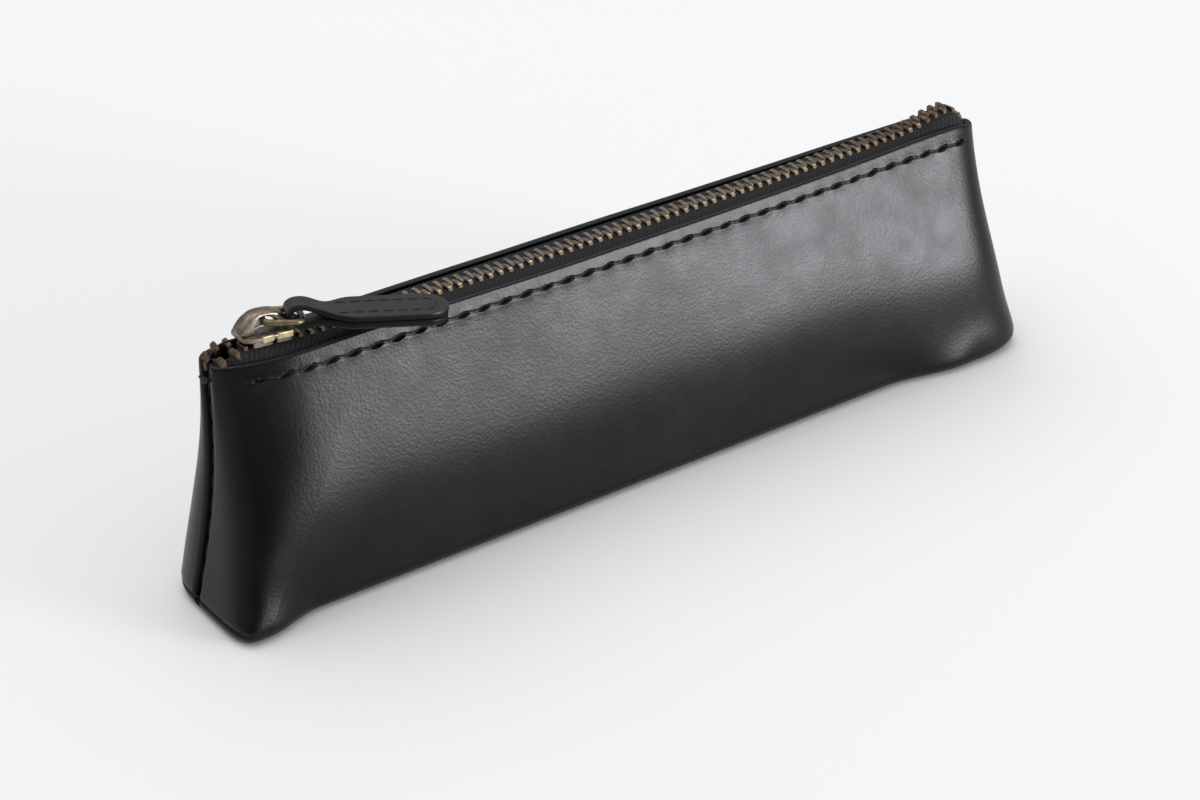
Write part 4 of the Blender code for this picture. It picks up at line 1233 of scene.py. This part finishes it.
def make_world():
    """Soft white room, brighter above and darker where the viewer stands."""
    world = bpy.data.worlds.new("room")
    bpy.context.scene.world = world
    nodes = Nodes(world)
    place = nodes.add("ShaderNodeTexCoord").outputs["Generated"]
    strength = 1.0
    for direction, span in ROOM_LIGHT:
        side = nodes.add("ShaderNodeVectorMath", {"operation": "DOT_PRODUCT"})
        nodes.feed(side.inputs[0], place)
        nodes.feed(side.inputs[1], direction)
        strength = nodes.combine("MULTIPLY", strength, nodes.ramp(side.outputs["Value"], *span))
    shade = nodes.tree.nodes["Background"]
    nodes.feed(shade.inputs["Strength"], strength)
    nodes.feed(shade.inputs["Color"], (0.98, 0.985, 1.0))


CAMERA_FOCAL = 85.0
CAMERA_SENSOR = 36.0
CAMERA_AZ = math.radians(32.60)
CAMERA_EL = math.radians(29.21)
CAMERA_ROLL = math.radians(3.0)
CAMERA_DISTANCE = 608.8
CAMERA_TARGET = Vector((-5.05, 0.0, 13.73))


def make_camera():
    data = bpy.data.cameras.new("camera")
    data.lens = CAMERA_FOCAL
    data.sensor_width = CAMERA_SENSOR
    data.clip_start = 0.01
    item = add_object("camera", data)
    item.matrix_world = (Matrix.Translation(CAMERA_TARGET * MM) @ Matrix.Rotation(-CAMERA_AZ, 4, "Z")
                         @ Matrix.Rotation(math.pi / 2 - CAMERA_EL, 4, "X")
                         @ Matrix.Rotation(-CAMERA_ROLL, 4, "Z")
                         @ Matrix.Translation((0.0, 0.0, CAMERA_DISTANCE * MM)))
    bpy.context.scene.camera = item


def make_room():
    make_floor()
    make_world()
    add_area("window", (0.705, -1.148, 0.14), (0.0, 0.0, 0.03), 0.48, 0.26, 18.0, (0.95, 0.96, 1.0))
    add_area("skylight", (0.10, 0.60, 1.05), (0.0, 0.0, 0.0), 0.90, 0.90, 3.0)
    make_camera()
    bpy.context.scene.view_settings.view_transform = "Standard"


def build_case():
    thread = thread_material()
    tape = tape_material()
    dull = brass_material("aged_brass_teeth", (0.115, 0.100, 0.088), (0.24, 0.20, 0.165), 0.42,
                          far=(0.085, 0.062, 0.044))
    # Lighter brass for the teeth's outer ends: a painted highlight.
    bright = brass_material("highlight_brass", (0.38, 0.27, 0.15), (0.66, 0.50, 0.31), 0.34,
                            far=(0.26, 0.185, 0.115))
    # Darker brass: painted shade on the teeth and stops near the slider and strap; also used for the
    # teeth of the raised right end and the bottom clip.
    dark = brass_material("dark_brass", (0.065, 0.048, 0.032), (0.16, 0.115, 0.070), 0.46)
    brass = [dull, bright, dark]
    hardware = brass_material("aged_brass_hardware", (0.13, 0.105, 0.080), (0.28, 0.235, 0.19),
                              0.38, 700.0)
    # Lighter brass for the slider's raised beads: a painted highlight.
    bead_highlight = brass_material("highlight_hardware", (0.34, 0.26, 0.15), (0.60, 0.47, 0.30), 0.42)
    make_leather_body(leather_material(), rim_material())
    for word, side in (("front", -1), ("back", 1)):
        make_tape("woven_tape_" + word, side, tape, "zip_tape_" + word)
        make_teeth("brass_teeth_" + word, side, brass, "zip_teeth_" + word)
        make_top_stop("open_end_stop_" + word, side, brass, "top_stop_" + word)
        make_edge_thread("stitching_" + word, side, thread, word + "_edge_thread")
    for word, side in (("left", -1), ("right", 1)):
        make_end_seam_thread("end_stitching_" + word, side, thread, word + "_end_seam_thread")
        make_corner_seam_thread("corner_stitching_" + word, side, thread,
                                word + "_corner_seam_thread")
    make_bottom_stop(dark)
    make_slider_body([hardware, bead_highlight])
    make_crown(hardware)
    make_lock_spring(spring_material())
    make_link(brass_material("aged_brass_wire", (0.11, 0.085, 0.048), (0.25, 0.20, 0.12), 0.38))
    make_strap(strap_material(), strap_edge_material())
    make_pull_thread(thread)


build_case()
make_room()
